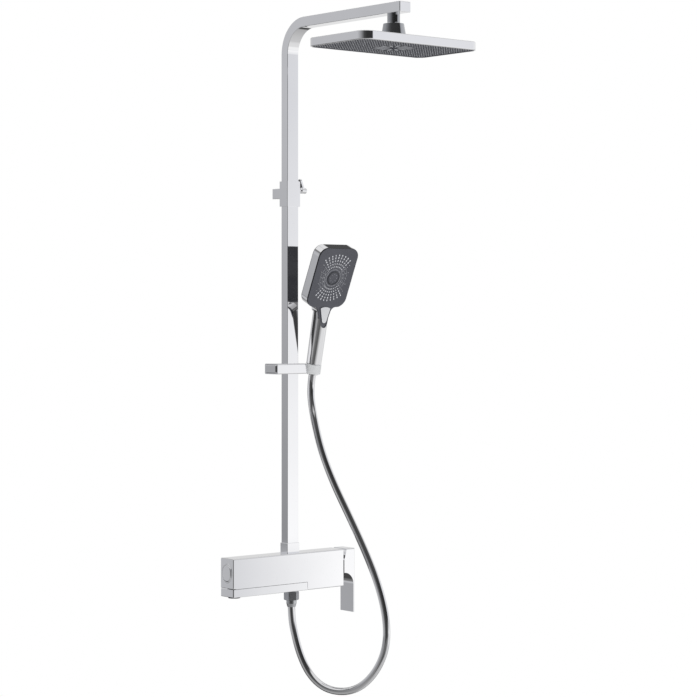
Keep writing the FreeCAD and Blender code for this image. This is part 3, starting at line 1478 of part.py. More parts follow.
def handset_face():
    """Dark face plate of the hand shower: pierced for its nozzles, with a tail round the button."""
    reach = HANDSET_UP / 4
    blank = head_place(face_blank(0, -reach, reach))
    sheet = blank.common(face_band(0, HANDSET_FACE))
    holes = []
    for outline in hexagons(HANDSET_NOZZLE + SEAT, handset_nozzle_places()):
        hole = plate(outline, HANDSET_FACE + 2 * SEAT)
        holes.append(head_place(moved(hole, (0, 0, -SEAT))))
    holes.append(mode_button_prism(RUN, -2 * MODE_DEPTH, MODE_PROUD))
    return lean_handset(sheet.cut(holes))


def handset_nozzles():
    """Nozzle mat of the hand shower, behind its face plate."""
    outline = rounded_outline(
        HANDSET_WIDTH - 5 * HANDSET_SKIN,
        HANDSET_HEIGHT - 5 * HANDSET_SKIN,
        HANDSET_CORNER - 2.5 * HANDSET_SKIN,
    )
    mat = nozzle_mat(
        outline,
        HEAD_MAT,
        HANDSET_FACE + HANDSET_NOZZLE_TIP,
        HANDSET_NOZZLE,
        HANDSET_NOZZLE_TIP,
        handset_nozzle_places(),
    )
    return handset_head_frame(moved(mat, (0, 0, HANDSET_FACE)))


def handset_disc():
    """Round spray disc in the middle of the face."""
    points = [
        (0, -HANDSET_DISC_PROUD),
        (HANDSET_DISC_RADIUS - HANDSET_DISC_PROUD, -HANDSET_DISC_PROUD),
        (HANDSET_DISC_RADIUS, -SEAT / 2),
        (0, -SEAT / 2),
    ]
    return handset_head_frame(turned_profile(points, (0, 0, 0), (0, 0, 1)))


def mode_outline(grow):
    """Tapered outline of the mode button, with a crowned top at y = 0 and a round lower end."""
    top = MODE_TOP_WIDTH / 2 + grow
    low = MODE_LOW_WIDTH / 2 + grow
    corners = [
        Vector(-low, -MODE_HEIGHT + MODE_LOW_WIDTH / 2, 0),
        Vector(0, -MODE_HEIGHT - grow, 0),
        Vector(low, -MODE_HEIGHT + MODE_LOW_WIDTH / 2, 0),
        Vector(top, -MODE_CROWN, 0),
        Vector(0, grow, 0),
        Vector(-top, -MODE_CROWN, 0),
    ]
    edges = [
        Part.Arc(*corners[:3]).toShape(),
        Part.LineSegment(corners[2], corners[3]).toShape(),
        Part.Arc(*corners[3:]).toShape(),
        Part.LineSegment(corners[5], corners[0]).toShape(),
    ]
    return Part.Wire(edges)


def mode_button_prism(grow, inner, outer):
    """Bar of the mode button's outline between two heights over the face's tail."""
    outward = Rotation(Vector(1, 0, 0), 90)
    lean = Rotation(Vector(1, 0, 0), MODE_LEAN)
    bar = moved(plate(mode_outline(grow), outer - inner), (0, 0, inner))
    return moved(moved(bar, (0, 0, 0), outward), face_fold(), lean)


def mode_button():
    """Tapered push button that changes the spray."""
    return lean_handset(mode_button_prism(0, -MODE_DEPTH, MODE_PROUD))


def build_hose():
    """Hose as straight runs joined by the largest tangent arcs that fit, with its printed radii."""
    start = lean_handset(Part.Vertex(0, 0, -CONE_BELOW)).Point
    end = Vector(0, BODY_Y, FERRULE_LOW)
    points = [start] + [Vector(*point) for point in HOSE_ROUTE] + [end]
    edges = []
    radii = []
    last = start
    for before, corner, after in zip(points, points[1:], points[2:]):
        back = before - corner
        on = after - corner
        turn = math.pi - back.getAngle(on)
        tangent = 0.45 * min(back.Length, on.Length)
        radius = tangent / math.tan(turn / 2)
        radii.append(radius)
        arc_start = corner + back.normalize() * tangent
        arc_end = corner + on.normalize() * tangent
        inward = (back + on).normalize()
        middle = corner + inward * (radius / math.cos(turn / 2) - radius)
        edges.append(Part.LineSegment(last, arc_start).toShape())
        edges.append(Part.Arc(arc_start, middle, arc_end).toShape())
        last = arc_end
    edges.append(Part.LineSegment(last, end).toShape())
    path = Part.Wire(edges)
    circle = Part.Circle(start, points[1] - start, HOSE_RADIUS).toShape()
    hose = path.makePipeShell([Part.Wire([circle])], True, False)
    section = math.pi * HOSE_RADIUS**2
    print("hose radii", [round(radius) for radius in radii])
    print("hose length", round(path.Length, 1), "volume ratio", hose.Volume / (section * path.Length))
    return hose


def hose_cone():
    """Conical nut on the hose's upper end, which sits in the cradle and takes the handle."""
    socket = CONE_ABOVE - SPIGOT_LENGTH
    points = [
        (BRANCH_BORE, -CONE_BELOW + SEAT),
        (cone_radius(-CONE_BELOW, 0), -CONE_BELOW + SEAT),
        (cone_radius(CONE_ABOVE, 0), CONE_ABOVE),
        (SPIGOT_RADIUS + SEAT, CONE_ABOVE),
        (SPIGOT_RADIUS + SEAT, socket),
        (BRANCH_BORE, socket),
    ]
    return lean_handset(turned_profile(points, (0, 0, 0), (0, 0, 1)))


def main():
    """Build every piece and write it out under its own name."""
    os.makedirs("parts", exist_ok=True)
    pieces = {
        "body_casing": body_casing(),
        "waterway": waterway(),
        "left_end_plate": left_end_plate(),
        "button_bezel": button_bezel(),
        "diverter_button": diverter_button(),
        "diverter_gland": diverter_gland(),
        "diverter_spool": diverter_spool(),
        "right_end_plate": right_end_plate(),
        "cartridge": cartridge(),
        "cartridge_nut": cartridge_nut(),
        "cartridge_spindle": cartridge_spindle(),
        "lever_turret": lever_turret(),
        "lever_pin": lever_pin(),
        "lever_handle": lever_handle(),
        "swing_spout": swing_spout(),
        "spout_aerator": spout_aerator(),
        "outlet_nipple": outlet_nipple(),
        "spout_seals": spout_seals(),
        "spout_clip": spout_clip(),
        "hose_nut": hose_nut(),
        "hose_ferrule": hose_ferrule(),
        "hose_washer": hose_washer(),
        "riser_tube": riser_tube(),
        "riser_foot": riser_foot(),
        "riser_collar": riser_collar(),
        "bracket_collar": bracket_collar(),
        "bracket_standoff": bracket_standoff(),
        "bracket_post": bracket_post(),
        "bracket_screw": bracket_screw(),
        "clamp_lever": clamp_lever(),
        "arm_cap": arm_cap(),
        "arm_stub": arm_stub(),
        "ball_seat": ball_seat(),
        "swivel_bell": swivel_bell(),
        "head_shell": head_shell(),
        "head_face": head_face(),
        "head_nozzles": head_nozzles(),
        "slider_body": slider_body(),
        "slider_liner": slider_liner(),
        "slider_button": slider_button(),
        "cradle": cradle(),
        "cradle_bolt": cradle_bolt(),
        "hose_cone": hose_cone(),
        "handset_shell": handset_shell(),
        "handset_back": handset_back(),
        "handset_face": handset_face(),
        "handset_nozzles": handset_nozzles(),
        "handset_disc": handset_disc(),
        "mode_button": mode_button(),
        "hose": build_hose(),
    }
    for side, x in INLETS.items():
        pieces["union_nut_" + side] = union_nut(x)
        pieces["wall_union_" + side] = wall_union(x)
        pieces["inlet_filter_" + side] = inlet_filter(x)
        pieces["escutcheon_" + side] = escutcheon(x)
    for name, shape in pieces.items():
        print(name, len(shape.Solids), "solid", "valid" if shape.isValid() else "INVALID")
        shape.exportStep("parts/" + name + ".step")


main()
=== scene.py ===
# %% [markdown]
# A wall shower in chrome: a flat bar mixer, a square riser, a wide rain head and a hand shower.
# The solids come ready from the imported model, in metres, with the wall at Y = 0 and the front at -Y.
# They are loaded first and never moved. All that follows is looks: light, finishes and finer pieces
# that sit on those solids.

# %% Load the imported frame
import math

import bpy
import numpy as np
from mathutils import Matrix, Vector


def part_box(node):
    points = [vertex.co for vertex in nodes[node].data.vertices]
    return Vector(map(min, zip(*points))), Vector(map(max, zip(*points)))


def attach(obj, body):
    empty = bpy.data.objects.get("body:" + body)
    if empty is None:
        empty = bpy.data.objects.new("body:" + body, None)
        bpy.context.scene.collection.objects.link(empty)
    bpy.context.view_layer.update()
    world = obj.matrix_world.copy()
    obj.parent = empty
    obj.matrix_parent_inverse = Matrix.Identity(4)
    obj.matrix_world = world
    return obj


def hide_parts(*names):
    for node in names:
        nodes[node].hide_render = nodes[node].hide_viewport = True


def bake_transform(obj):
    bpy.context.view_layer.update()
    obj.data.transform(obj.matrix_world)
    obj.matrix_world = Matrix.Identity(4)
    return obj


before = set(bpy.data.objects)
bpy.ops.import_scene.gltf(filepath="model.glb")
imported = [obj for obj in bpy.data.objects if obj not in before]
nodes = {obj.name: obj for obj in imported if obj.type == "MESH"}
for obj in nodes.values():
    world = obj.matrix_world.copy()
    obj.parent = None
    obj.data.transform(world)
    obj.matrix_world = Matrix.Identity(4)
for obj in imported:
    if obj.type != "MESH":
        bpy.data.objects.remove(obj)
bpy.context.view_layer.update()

scene = bpy.context.scene

# %% [markdown]
# The picture was taken from the left, level with the middle of the riser, through a long lens.
# A camera that is tipped down would make upright edges lean. A level one keeps them upright, so the
# frame is lowered with the lens shift alone. The place and the lens were fitted to the edges of the
# bar, the riser and the rain head.

# %% Camera
CAMERA_PLACE = (-2.6999, -3.4239, 0.52583)
VIEW_DIRECTION = Vector((0.6453, 0.7639, 0.0))
LENS_MM = 109.84
SENSOR_MM = 36.0
LENS_SHIFT = -0.058
camera_data = bpy.data.cameras.new("camera")
camera = bpy.data.objects.new("camera", camera_data)
scene.collection.objects.link(camera)
camera.location = CAMERA_PLACE
camera.rotation_mode = "QUATERNION"
camera.rotation_quaternion = VIEW_DIRECTION.to_track_quat("-Z", "Y")
camera_data.lens = LENS_MM
camera_data.sensor_width = SENSOR_MM
camera_data.shift_y = LENS_SHIFT
scene.camera = camera
print("camera at", np.round(camera.location, 3).tolist())

# %% [markdown]
# The hose is a smooth silver tube of 15 mm. It leaves the ferrule under the bar, hangs in a loop and
# climbs to the cone of the hand shower. Straight lines between the points of its route would show as
# corners, so the points control a spline, which is read back as a plain chain of points.

# %% The hose line
HOSE_ROUTE = np.array([
    (45.5, -59.34, 390.59), (45.5, -54.2, 367.1), (42.1, -60.1, 335), (36.9, -78.8, 290),
    (40.1, -97.3, 232), (54.3, -119.2, 168), (71.4, -150.1, 100), (84, -183, 34), (93, -212, -30),
    (98, -229, -92), (97.5, -231, -148), (89.5, -214, -195), (76, -185.5, -231), (60, -151, -248),
    (38.5, -111, -245), (22.5, -79.5, -219), (10.6, -60.6, -175), (2.4, -50.5, -123), (0.5, -48.5, -100),
    (0, -48, -80.8),
])[::-1] / 1000
HOSE_RADIUS = 0.0075
LINE_DETAIL = 24
QUADRATIC = 3


def spline_points(route):
    """Points along an open quadratic NURBS whose control points are the rows of route."""
    curve = bpy.data.curves.new("hose_line", "CURVE")
    curve.dimensions = "3D"
    curve.resolution_u = LINE_DETAIL
    spline = curve.splines.new("NURBS")
    spline.points.add(len(route) - 1)
    weights = np.ones((len(route), 1))
    spline.points.foreach_set("co", np.hstack([route, weights]).ravel())
    spline.order_u = QUADRATIC
    spline.use_endpoint_u = True
    holder = bpy.data.objects.new("hose_line", curve)
    scene.collection.objects.link(holder)
    bpy.context.view_layer.update()
    mesh = bpy.data.meshes.new_from_object(holder.evaluated_get(bpy.context.evaluated_depsgraph_get()))
    points = np.empty(len(mesh.vertices) * 3)
    mesh.vertices.foreach_get("co", points)
    bpy.data.objects.remove(holder)
    bpy.data.curves.remove(curve)
    bpy.data.meshes.remove(mesh)
    return points.reshape(-1, 3)


hose_line = spline_points(HOSE_ROUTE)
hose_steps = np.linalg.norm(np.diff(hose_line, axis=0), axis=1)
hose_run = np.concatenate([[0], np.cumsum(hose_steps)])
print("hose line:", len(hose_line), "points,", round(hose_run[-1], 4), "m")

# %% [markdown]
# A long piece here is a grid of points: rows run along it and columns run round it. A bevelled curve
# could make a round tube too, but a grid can carry any profile. One helper turns such a grid into a
# mesh with a UV map and closes its ends.

# %% Grid to mesh
SHARP_ANGLE = math.radians(40)


def grid_mesh(name, points):
    """Mesh of a grid of shape (rows, columns, 3), with quads between neighbours.

    The last column joins the first, and each end row is closed by one face. The UV map holds the
    column and the row, each from 0 to 1.
    """
    rows, columns = points.shape[:2]
    index = np.arange(rows * columns).reshape(rows, columns)
    following = np.roll(index, -1, axis=1)
    quads = np.stack([index[:-1], following[:-1], following[1:], index[1:]], axis=-1).reshape(-1, 4)
    faces = quads.tolist() + [index[0][::-1].tolist(), index[-1].tolist()]
    mesh = bpy.data.meshes.new(name)
    mesh.from_pydata(points.reshape(-1, 3).tolist(), [], faces)
    row_of, column_of = np.divmod(np.arange(len(quads)), columns)
    corner_rows = np.stack([row_of, row_of, row_of + 1, row_of + 1], axis=1) / (rows - 1)
    corner_columns = np.stack([column_of, column_of + 1, column_of + 1, column_of], axis=1) / columns
    uv = np.stack([corner_columns, corner_rows], axis=-1).reshape(-1, 2)
    end_uv = np.zeros((len(mesh.loops) - len(uv), 2))
    layer = mesh.uv_layers.new(name="UVMap")
    layer.uv.foreach_set("vector", np.vstack([uv, end_uv]).ravel())
    mesh.shade_smooth()
    mesh.set_sharp_from_angle(angle=SHARP_ANGLE)
    return mesh


def piece(name, mesh, body=None):
    """Object for a finished mesh, which rides on a body when one is given."""
    thing = bpy.data.objects.new(name, mesh)
    scene.collection.objects.link(thing)
    if body:
        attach(thing, body)
    return thing


# %% [markdown]
# The tube keeps one ring of points square to the line at every step. A frame that only tips with the
# line, and never spins round it, keeps the rings from twisting.

# %% Tube along a line


def line_frames(line):
    """Two side vectors at each point of a line, square to it and carried without twist."""
    tangents = np.gradient(line, axis=0)
    tangents /= np.linalg.norm(tangents, axis=1, keepdims=True)
    side = np.cross(tangents[0], (1.0, 0.0, 0.0))
    sides = []
    for tangent in tangents:
        side = side - tangent * (side @ tangent)
        side = side / np.linalg.norm(side)
        sides.append(side)
    sides = np.array(sides)
    return sides, np.cross(tangents, sides)


def tube_grid(line, radius, columns):
    """Grid of a round tube: each ring is cos and sin of the angle times the two side vectors."""
    first, second = line_frames(line)
    angle = np.linspace(0, 2 * np.pi, columns, endpoint=False)
    ring = np.cos(angle)[None, :, None] * first[:, None] + np.sin(angle)[None, :, None] * second[:, None]
    return line[:, None] + radius * ring


# %% [markdown]
# The lower end of the hose stays with the bar, and its upper end moves with the slider, tips with the
# cradle and lifts out with the hand shower. The hose is cut into three tubes that share their end rings.

# %% Hose pieces
TOP_LENGTH = 0.0925
UPPER_LENGTH = 0.16
HOSE_SIDES = 36
hose_cuts = np.searchsorted(hose_run, hose_run[-1] - np.array([TOP_LENGTH + UPPER_LENGTH, TOP_LENGTH]))
hose_grid = tube_grid(hose_line, HOSE_RADIUS, HOSE_SIDES)
hose_parts = []
spans = [(0, hose_cuts[0]), (hose_cuts[0], hose_cuts[1]), (hose_cuts[1], len(hose_line) - 1)]
for label, (first_row, last_row) in zip(("hose_loop", "hose_rise", "hose_top"), spans):
    tube = piece(label, grid_mesh(label, hose_grid[first_row:last_row + 1]))
    tube.visible_glossy = False
    hose_parts.append(tube)
    print(label, "rows", first_row, "to", last_row, "from", np.round(hose_line[first_row], 3).tolist())

# %% [markdown]
# The model's own hose is hidden, and the three tubes take its place, with their places baked into their
# points.

# %% Hide the model's hose and bake the tube pieces
hose_loop, hose_rise, hose_top = hose_parts
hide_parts("hose")
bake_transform(hose_loop)
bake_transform(hose_rise)
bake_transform(hose_top)

# %% [markdown]
# Spray nozzles, rosette rays, the bars of a strainer and round bosses are all one kind of shape: a stack
# of rings along an axis, closed at both ends. One function makes a whole field of them at once, because
# a thousand separate objects would be slow and nobody needs to pick a single nozzle.

# %% A field of studs
MM = 0.001


def stud_piece(name, places, right, up, out, profile, sides, body):
    """One piece of many studs, each a stack of rings with a face on both ends.

    The profile has a share s and a height h for each ring. The points of a ring are
    place + s (cos t right + sin t up) + h out, with t going once round.
    """
    places, right, up, out = np.broadcast_arrays(*(np.atleast_2d(v) for v in (places, right, up, out)))
    share, height = np.array(profile, dtype=float).T
    angle = np.linspace(0, 2 * np.pi, sides, endpoint=False)
    circle = np.cos(angle)[:, None] * right[:, None] + np.sin(angle)[:, None] * up[:, None]
    points = (places[:, None, None] + share[:, None, None] * circle[:, None]
              + height[:, None, None] * out[:, None, None])
    index = np.arange(points.size // 3).reshape(points.shape[:3])
    following = np.roll(index, -1, axis=2)
    walls = np.stack([index[:, :-1], following[:, :-1], following[:, 1:], index[:, 1:]], axis=-1)
    faces = walls.reshape(-1, 4).tolist() + index[:, 0, ::-1].tolist() + index[:, -1].tolist()
    mesh = bpy.data.meshes.new(name)
    mesh.from_pydata(points.reshape(-1, 3).tolist(), [], faces)
    mesh.shade_smooth()
    mesh.set_sharp_from_angle(angle=SHARP_ANGLE)
    return piece(name, mesh, body)


# %% [markdown]
# The rain head is a flat pan. Its dark face carries hundreds of fine rubber nozzles in rows, and a
# rosette of pale rays in the middle. The model has the main nozzles; the fine ones between them are
# added here on the same raster, left out near the rim, over the main nozzles and under the rosette.

# %% Where the fine nozzles of the rain head go
HEAD_RIGHT, HEAD_UP, HEAD_OUT = np.array([(1, 0, 0), (0, -1, 0), (0, 0, -1)], dtype=float)
MAIN_STEP = np.array([25.5, 33.5]) * MM
FINE_PER_MAIN = np.array([4, 5])
HEAD_CORNER = 17 * MM
RIM_MARGIN = 5 * MM
ROSETTE_REACH = 43 * MM
face_low, face_high = np.array(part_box("head_face"))
head_centre = np.array([*(face_low + face_high)[:2] / 2, face_low[2]])
fine_step = MAIN_STEP / FINE_PER_MAIN
face_half = (face_high - face_low)[:2] / 2
counts = (face_half / fine_step).astype(int)
raster = np.stack(np.meshgrid(*(np.arange(-n, n + 1) for n in counts), indexing="ij"), -1).reshape(-1, 2)
spots = raster * fine_step
beyond = np.abs(spots) - (face_half - HEAD_CORNER)
rim_gap = HEAD_CORNER - np.hypot(*np.maximum(beyond, 0).T) - np.minimum(beyond.max(axis=1), 0)
is_main = (raster % FINE_PER_MAIN == 0).all(axis=1)
spots = spots[(rim_gap > RIM_MARGIN) & ~is_main & (np.hypot(*spots.T) > ROSETTE_REACH)]
print("fine nozzles:", len(spots))

# %% Fine nozzles of the rain head
FINE_RADIUS = 1.3 * MM
FINE_PROUD = 0.6 * MM
FINE_PROFILE = [(1, -0.3), (0.9, 0.5), (0.55, 1)]
FINE_SIDES = 6
fine_places = head_centre + spots[:, :1] * HEAD_RIGHT + spots[:, 1:] * HEAD_UP
fine_nozzles = stud_piece(
    "head_fine_nozzles", fine_places, FINE_RADIUS * HEAD_RIGHT, FINE_RADIUS * HEAD_UP,
    FINE_PROUD * HEAD_OUT, FINE_PROFILE, FINE_SIDES, "rain_head")
print("nozzle faces:", len(fine_nozzles.data.polygons))

# %% [markdown]
# The rosette is a ring of flat petals round a small turned hub. A petal is a stud that lies down: its
# axis points away from the centre, and its rings are wide and very low.

# %% Rosette of the rain head
RAYS = 14
RAY_HALF_WIDTH = 3.4 * MM
RAY_PROUD = 0.35 * MM
RAY_PROFILE = [(0.12, 8), (0.55, 18), (1, 31), (0.85, 37), (0.25, 40)]
RAY_SIDES = 10
HUB_PROFILE = [(8.5, -0.3), (8.2, 0.6), (6.4, 1.0), (5.6, 0.5), (2.4, 0.5), (1.8, 1.0), (0.6, 1.1)]
HUB_SIDES = 48
ray_angle = np.arange(RAYS) * 2 * np.pi / RAYS + np.pi / RAYS
ray_along = np.cos(ray_angle)[:, None] * HEAD_RIGHT + np.sin(ray_angle)[:, None] * HEAD_UP
ray_across = np.cross(HEAD_OUT, ray_along)
rays = stud_piece(
    "head_rosette_rays", head_centre, RAY_HALF_WIDTH * ray_across, RAY_PROUD * HEAD_OUT, MM * ray_along,
    RAY_PROFILE, RAY_SIDES, "rain_head")
hub = stud_piece(
    "head_rosette_hub", head_centre, MM * HEAD_RIGHT, MM * HEAD_UP, MM * HEAD_OUT,
    HUB_PROFILE, HUB_SIDES, "rain_head")
print("rosette:", RAYS, "rays")

# %% [markdown]
# The face of the hand shower has radial rows of nozzles round a disc. Above and below the disc they
# are fat slots, and at its sides they are fine ticks. The face leans back, so its own right, up and
# out directions come first, and every row is laid out as an angle and a radius on that plane.

# %% Plane of the hand shower's face
FACE_LEAN = math.radians(24)
FACE_RIGHT = np.array([1.0, 0.0, 0.0])
FACE_UP = np.array([0.0, -math.sin(FACE_LEAN), math.cos(FACE_LEAN)])
FACE_OUT = np.cross(FACE_RIGHT, FACE_UP)
DISC_DEPTH = 1.2 * MM
disc_low, disc_high = np.array(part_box("handset_disc"))
face_centre = (disc_low + disc_high) / 2 - FACE_OUT * DISC_DEPTH / 2


def on_face(angle, radius):
    """Places at an angle from the face's right and a radius, with the row and cross directions there."""
    along = np.cos(angle)[:, None] * FACE_RIGHT + np.sin(angle)[:, None] * FACE_UP
    across = -np.sin(angle)[:, None] * FACE_RIGHT + np.cos(angle)[:, None] * FACE_UP
    return face_centre + radius[:, None] * along, along, across


def radial_rows(angles, radii):
    """Every angle with every radius, as two flat arrays."""
    angle, radius = np.meshgrid(np.radians(angles), np.array(radii) * MM, indexing="ij")
    return angle.ravel(), radius.ravel()


print("face centre:", np.round(face_centre, 4).tolist())

# %% Slots of the hand shower
FAN_ROWS = np.arange(50, 131, 10)
SLOT_RADII = [24.5, 30.9, 37.3, 43.7, 49.3]
SLOT_HALF = np.array([2.0, 1.2]) * MM
GROWTH_RADII = np.array([24.5, 43.7]) * MM
GROWTH = [0.8, 1.1]
SLOT_PROFILE = [(1, -0.3), (0.95, 0.5), (0.6, 0.85)]
SLOT_SIDES = 10
slot_angle, slot_radius = radial_rows(np.concatenate([FAN_ROWS, FAN_ROWS + 180]), SLOT_RADII)
places, along, across = on_face(slot_angle, slot_radius)
slot_size = np.interp(slot_radius, GROWTH_RADII, GROWTH)[:, None]
slots = stud_piece(
    "handset_slots", places, SLOT_HALF[0] * slot_size * along, SLOT_HALF[1] * slot_size * across,
    MM * FACE_OUT, SLOT_PROFILE, SLOT_SIDES, "handset")
print("slots:", len(slot_angle))

# %% Ticks of the hand shower
TICK_TURN = 5
FAN_HALF = 44
TICK_RADII = [22.4, 27.0, 33.4]
INNER_TICK_RADIUS = 18.0
TICK_HALF = np.array([1.7, 0.36]) * MM
TICK_PROFILE = [(1, -0.3), (0.8, 0.35)]
TICK_SIDES = 6
all_rows = np.arange(0, 360, TICK_TURN)
side_rows = all_rows[np.abs(np.abs(all_rows - 180) - 90) > FAN_HALF]
inner_angle, inner_radius = radial_rows(all_rows, [INNER_TICK_RADIUS])
outer_angle, outer_radius = radial_rows(side_rows, TICK_RADII)
tick_angle = np.concatenate([inner_angle, outer_angle])
places, along, across = on_face(tick_angle, np.concatenate([inner_radius, outer_radius]))
ticks = stud_piece(
    "handset_ticks", places, TICK_HALF[0] * along, TICK_HALF[1] * across, MM * FACE_OUT,
    TICK_PROFILE, TICK_SIDES, "handset")
print("ticks:", len(tick_angle))

# %% [markdown]
# The face of the hand shower has a rounded edge round the grey plate. Its near-black finish is a painted
# shade that draws the black line round the plate. It is a profile carried round a rounded rectangle that is
# open along its lower side. It shrinks to nothing at both ends, where the face runs on into the tail below
# it.

# %% Edge of the hand shower's face
FACE_HALF = np.array([49.5, 63.75]) * MM
FACE_CORNER = 19.5 * MM
ARC_POINTS = 19
EDGE_FADE = 7 * MM
EDGE_ANCHOR = np.array([-1.1, -0.9]) * MM
EDGE_PROFILE = np.array([
    (-2.6, -0.5), (-2.4, 0.02), (-1.5, 0.24), (-0.6, 0.14), (-0.05, -0.35), (0.2, -1.1), (0.26, -2.2),
    (0.2, -3.7), (-0.6, -3.9), (-0.6, -0.8),
]) * MM


def open_frame(half, corner, fade):
    """Path round a rectangle with round corners, open along its lower side.

    Gives the points, their outward directions and a share that rises from 0 to 1 over the fade
    at each end.
    """
    turn = np.radians(-90 + 90 * np.arange(4)[:, None] + np.linspace(0, 90, ARC_POINTS))
    centre = np.array([(1, -1), (1, 1), (-1, 1), (-1, -1)]) * (half - corner)
    outward = np.stack([np.cos(turn), np.sin(turn)], -1)
    points = (centre[:, None] + corner * outward).reshape(-1, 2)
    run = np.concatenate([[0], np.cumsum(np.linalg.norm(np.diff(points, axis=0), axis=1))])
    share = np.clip(np.minimum(run, run[-1] - run) / fade, 0, 1)
    return points, outward.reshape(-1, 2), share


edge_path, edge_out, edge_share = open_frame(FACE_HALF, FACE_CORNER, EDGE_FADE)
edge_section = EDGE_ANCHOR + edge_share[:, None, None] * (EDGE_PROFILE - EDGE_ANCHOR)
edge_flat = edge_path[:, None] + edge_section[..., :1] * edge_out[:, None]
edge_grid = face_centre + edge_flat @ np.stack([FACE_RIGHT, FACE_UP]) + edge_section[..., 1:] * FACE_OUT
edge = piece("handset_face_edge", grid_mesh("handset_face_edge", edge_grid), "handset")
print("face edge:", edge_grid.shape[:2])

# %% [markdown]
# The disc in the middle of the face is framed by a low turned ring, and a few mist nozzles stand on it.
# Both are studs again: the ring is one wide stud whose closing face lies just under the disc's surface.

# %% Disc of the hand shower
RING_PROFILE = [(14.6, -0.2), (14.6, 1.0), (13.9, 1.9), (12.7, 2.1), (11.9, 1.5), (11.6, 1.22), (11.4, 1.1)]
RING_SIDES = 64
MIST_TURN = 45
MIST_CIRCLE = 8.0
MIST_RADIUS = 0.7 * MM
MIST_PROFILE = [(1, -0.3), (0.9, 0.3), (0.5, 0.5)]
MIST_SIDES = 8
ring = stud_piece(
    "handset_disc_ring", face_centre, MM * FACE_RIGHT, MM * FACE_UP, MM * FACE_OUT,
    RING_PROFILE, RING_SIDES, "handset")
mist_angle, mist_radius = radial_rows(np.arange(0, 360, MIST_TURN), [MIST_CIRCLE])
places, along, across = on_face(mist_angle, mist_radius)
mist = stud_piece(
    "handset_mist_nozzles", places + DISC_DEPTH * FACE_OUT, MIST_RADIUS * along, MIST_RADIUS * across,
    MM * FACE_OUT, MIST_PROFILE, MIST_SIDES, "handset")
print("disc: ring and", len(mist_angle), "mist nozzles")

# %% [markdown]
# The mouth of the spout shows only from below. It has a strainer of crossed bars, and each bar is as
# long as the chord of the round mouth where it lies. A bar is a stud with four sides.

# %% Strainer of the spout
RIM_PROUD = 3 * MM
STRAINER_RADIUS = 8.8 * MM
BARS_EACH_SIDE = 4
BAR_STEP = 1.9 * MM
BAR_HALF = 0.4 * MM
BAR_PROFILE = [(1, -1), (1, 1)]
BAR_SIDES = 4
mouth_low, mouth_high = np.array(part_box("spout_aerator"))
mouth = np.array([*(mouth_low + mouth_high)[:2] / 2, mouth_low[2] + RIM_PROUD])
offsets = np.arange(-BARS_EACH_SIDE, BARS_EACH_SIDE + 1) * BAR_STEP
chords = np.sqrt(STRAINER_RADIUS**2 - offsets**2)
bar_along = np.concatenate([chords[:, None] * HEAD_RIGHT, chords[:, None] * HEAD_UP])
bar_place = mouth + np.concatenate([offsets[:, None] * HEAD_UP, offsets[:, None] * HEAD_RIGHT])
bar_side = np.cross(HEAD_OUT, bar_along / np.linalg.norm(bar_along, axis=1, keepdims=True))
strainer = stud_piece(
    "aerator_strainer", bar_place, BAR_HALF * bar_side, BAR_HALF * HEAD_OUT, bar_along,
    BAR_PROFILE, BAR_SIDES, "spout")
print("strainer bars:", len(bar_place))

# %% [markdown]
# The stubs that go into the wall carry a pipe thread. It could be a bump in the finish, but a thread
# shows in the outline, so it is a real ridge: a thin tube wound round the stub as a helix.

# %% Threads of the wall stubs
THREAD_PITCH = 1.81 * MM
THREAD_TURNS = 8.5
THREAD_RADIUS = 10.5 * MM
RIDGE_RADIUS = 0.42 * MM
RIDGE_SIDES = 6
POINTS_PER_TURN = 32
wind = np.linspace(0, 2 * np.pi * THREAD_TURNS, int(POINTS_PER_TURN * THREAD_TURNS))
threads = []
for side in ("left", "right"):
    label = "wall_thread_" + side
    stub_low, stub_high = np.array(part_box("wall_union_" + side))
    axis_x = (stub_low[0] + stub_high[0]) / 2
    run = stub_high[1] - THREAD_PITCH * (0.5 + wind / (2 * np.pi))
    helix = np.stack([axis_x + THREAD_RADIUS * np.cos(wind), run, THREAD_RADIUS * np.sin(wind)], -1)
    ridge = grid_mesh(label, tube_grid(helix, RIDGE_RADIUS, RIDGE_SIDES))
    threads.append(piece(label, ridge, "column"))
print("threads:", len(threads))

# %% [markdown]
# The studio is white, and polished metal mirrors the room: white paper on the right, a grey wall on the
# left and the dark side of the room behind the camera. That mirror image is what makes chrome look like
# chrome. Cards and screens could be built round the set, but they would get in the way of other views,
# so the room is painted by direction in the world instead.

# %% World tools
world = bpy.data.worlds.new("studio")
scene.world = world
world.use_nodes = True
world_tree = world.node_tree
world_tree.nodes.clear()


def add_node(tree, kind, name, **values):
    """New node with its settings, where names that match no setting are input sockets."""
    node = tree.nodes.new(kind)
    node.name = name
    node.label = name
    for key, value in values.items():
        if hasattr(node, key):
            setattr(node, key, value)
        else:
            node.inputs[key.replace("_", " ")].default_value = value
    return node


def math_node(tree, operation, first, second, name=""):
    """Math node whose two values are sockets or numbers."""
    node = tree.nodes.new("ShaderNodeMath")
    node.operation = operation
    node.label = name
    for socket, value in zip(node.inputs, (first, second)):
        if isinstance(value, (int, float)):
            socket.default_value = value
        else:
            tree.links.new(value, socket)
    return node.outputs[0]


# %% [markdown]
# A direction is split into its height and its turn about the upright axis. The turn is counted from the
# camera's side of the room: 0 is behind the camera, 90 is to the right and 180 is behind the shower.

# %% Turn of a direction
coordinates = add_node(world_tree, "ShaderNodeTexCoord", "direction")
parts = add_node(world_tree, "ShaderNodeSeparateXYZ", "direction parts")
world_tree.links.new(coordinates.outputs["Generated"], parts.inputs[0])
x_part, y_part, z_part = parts.outputs


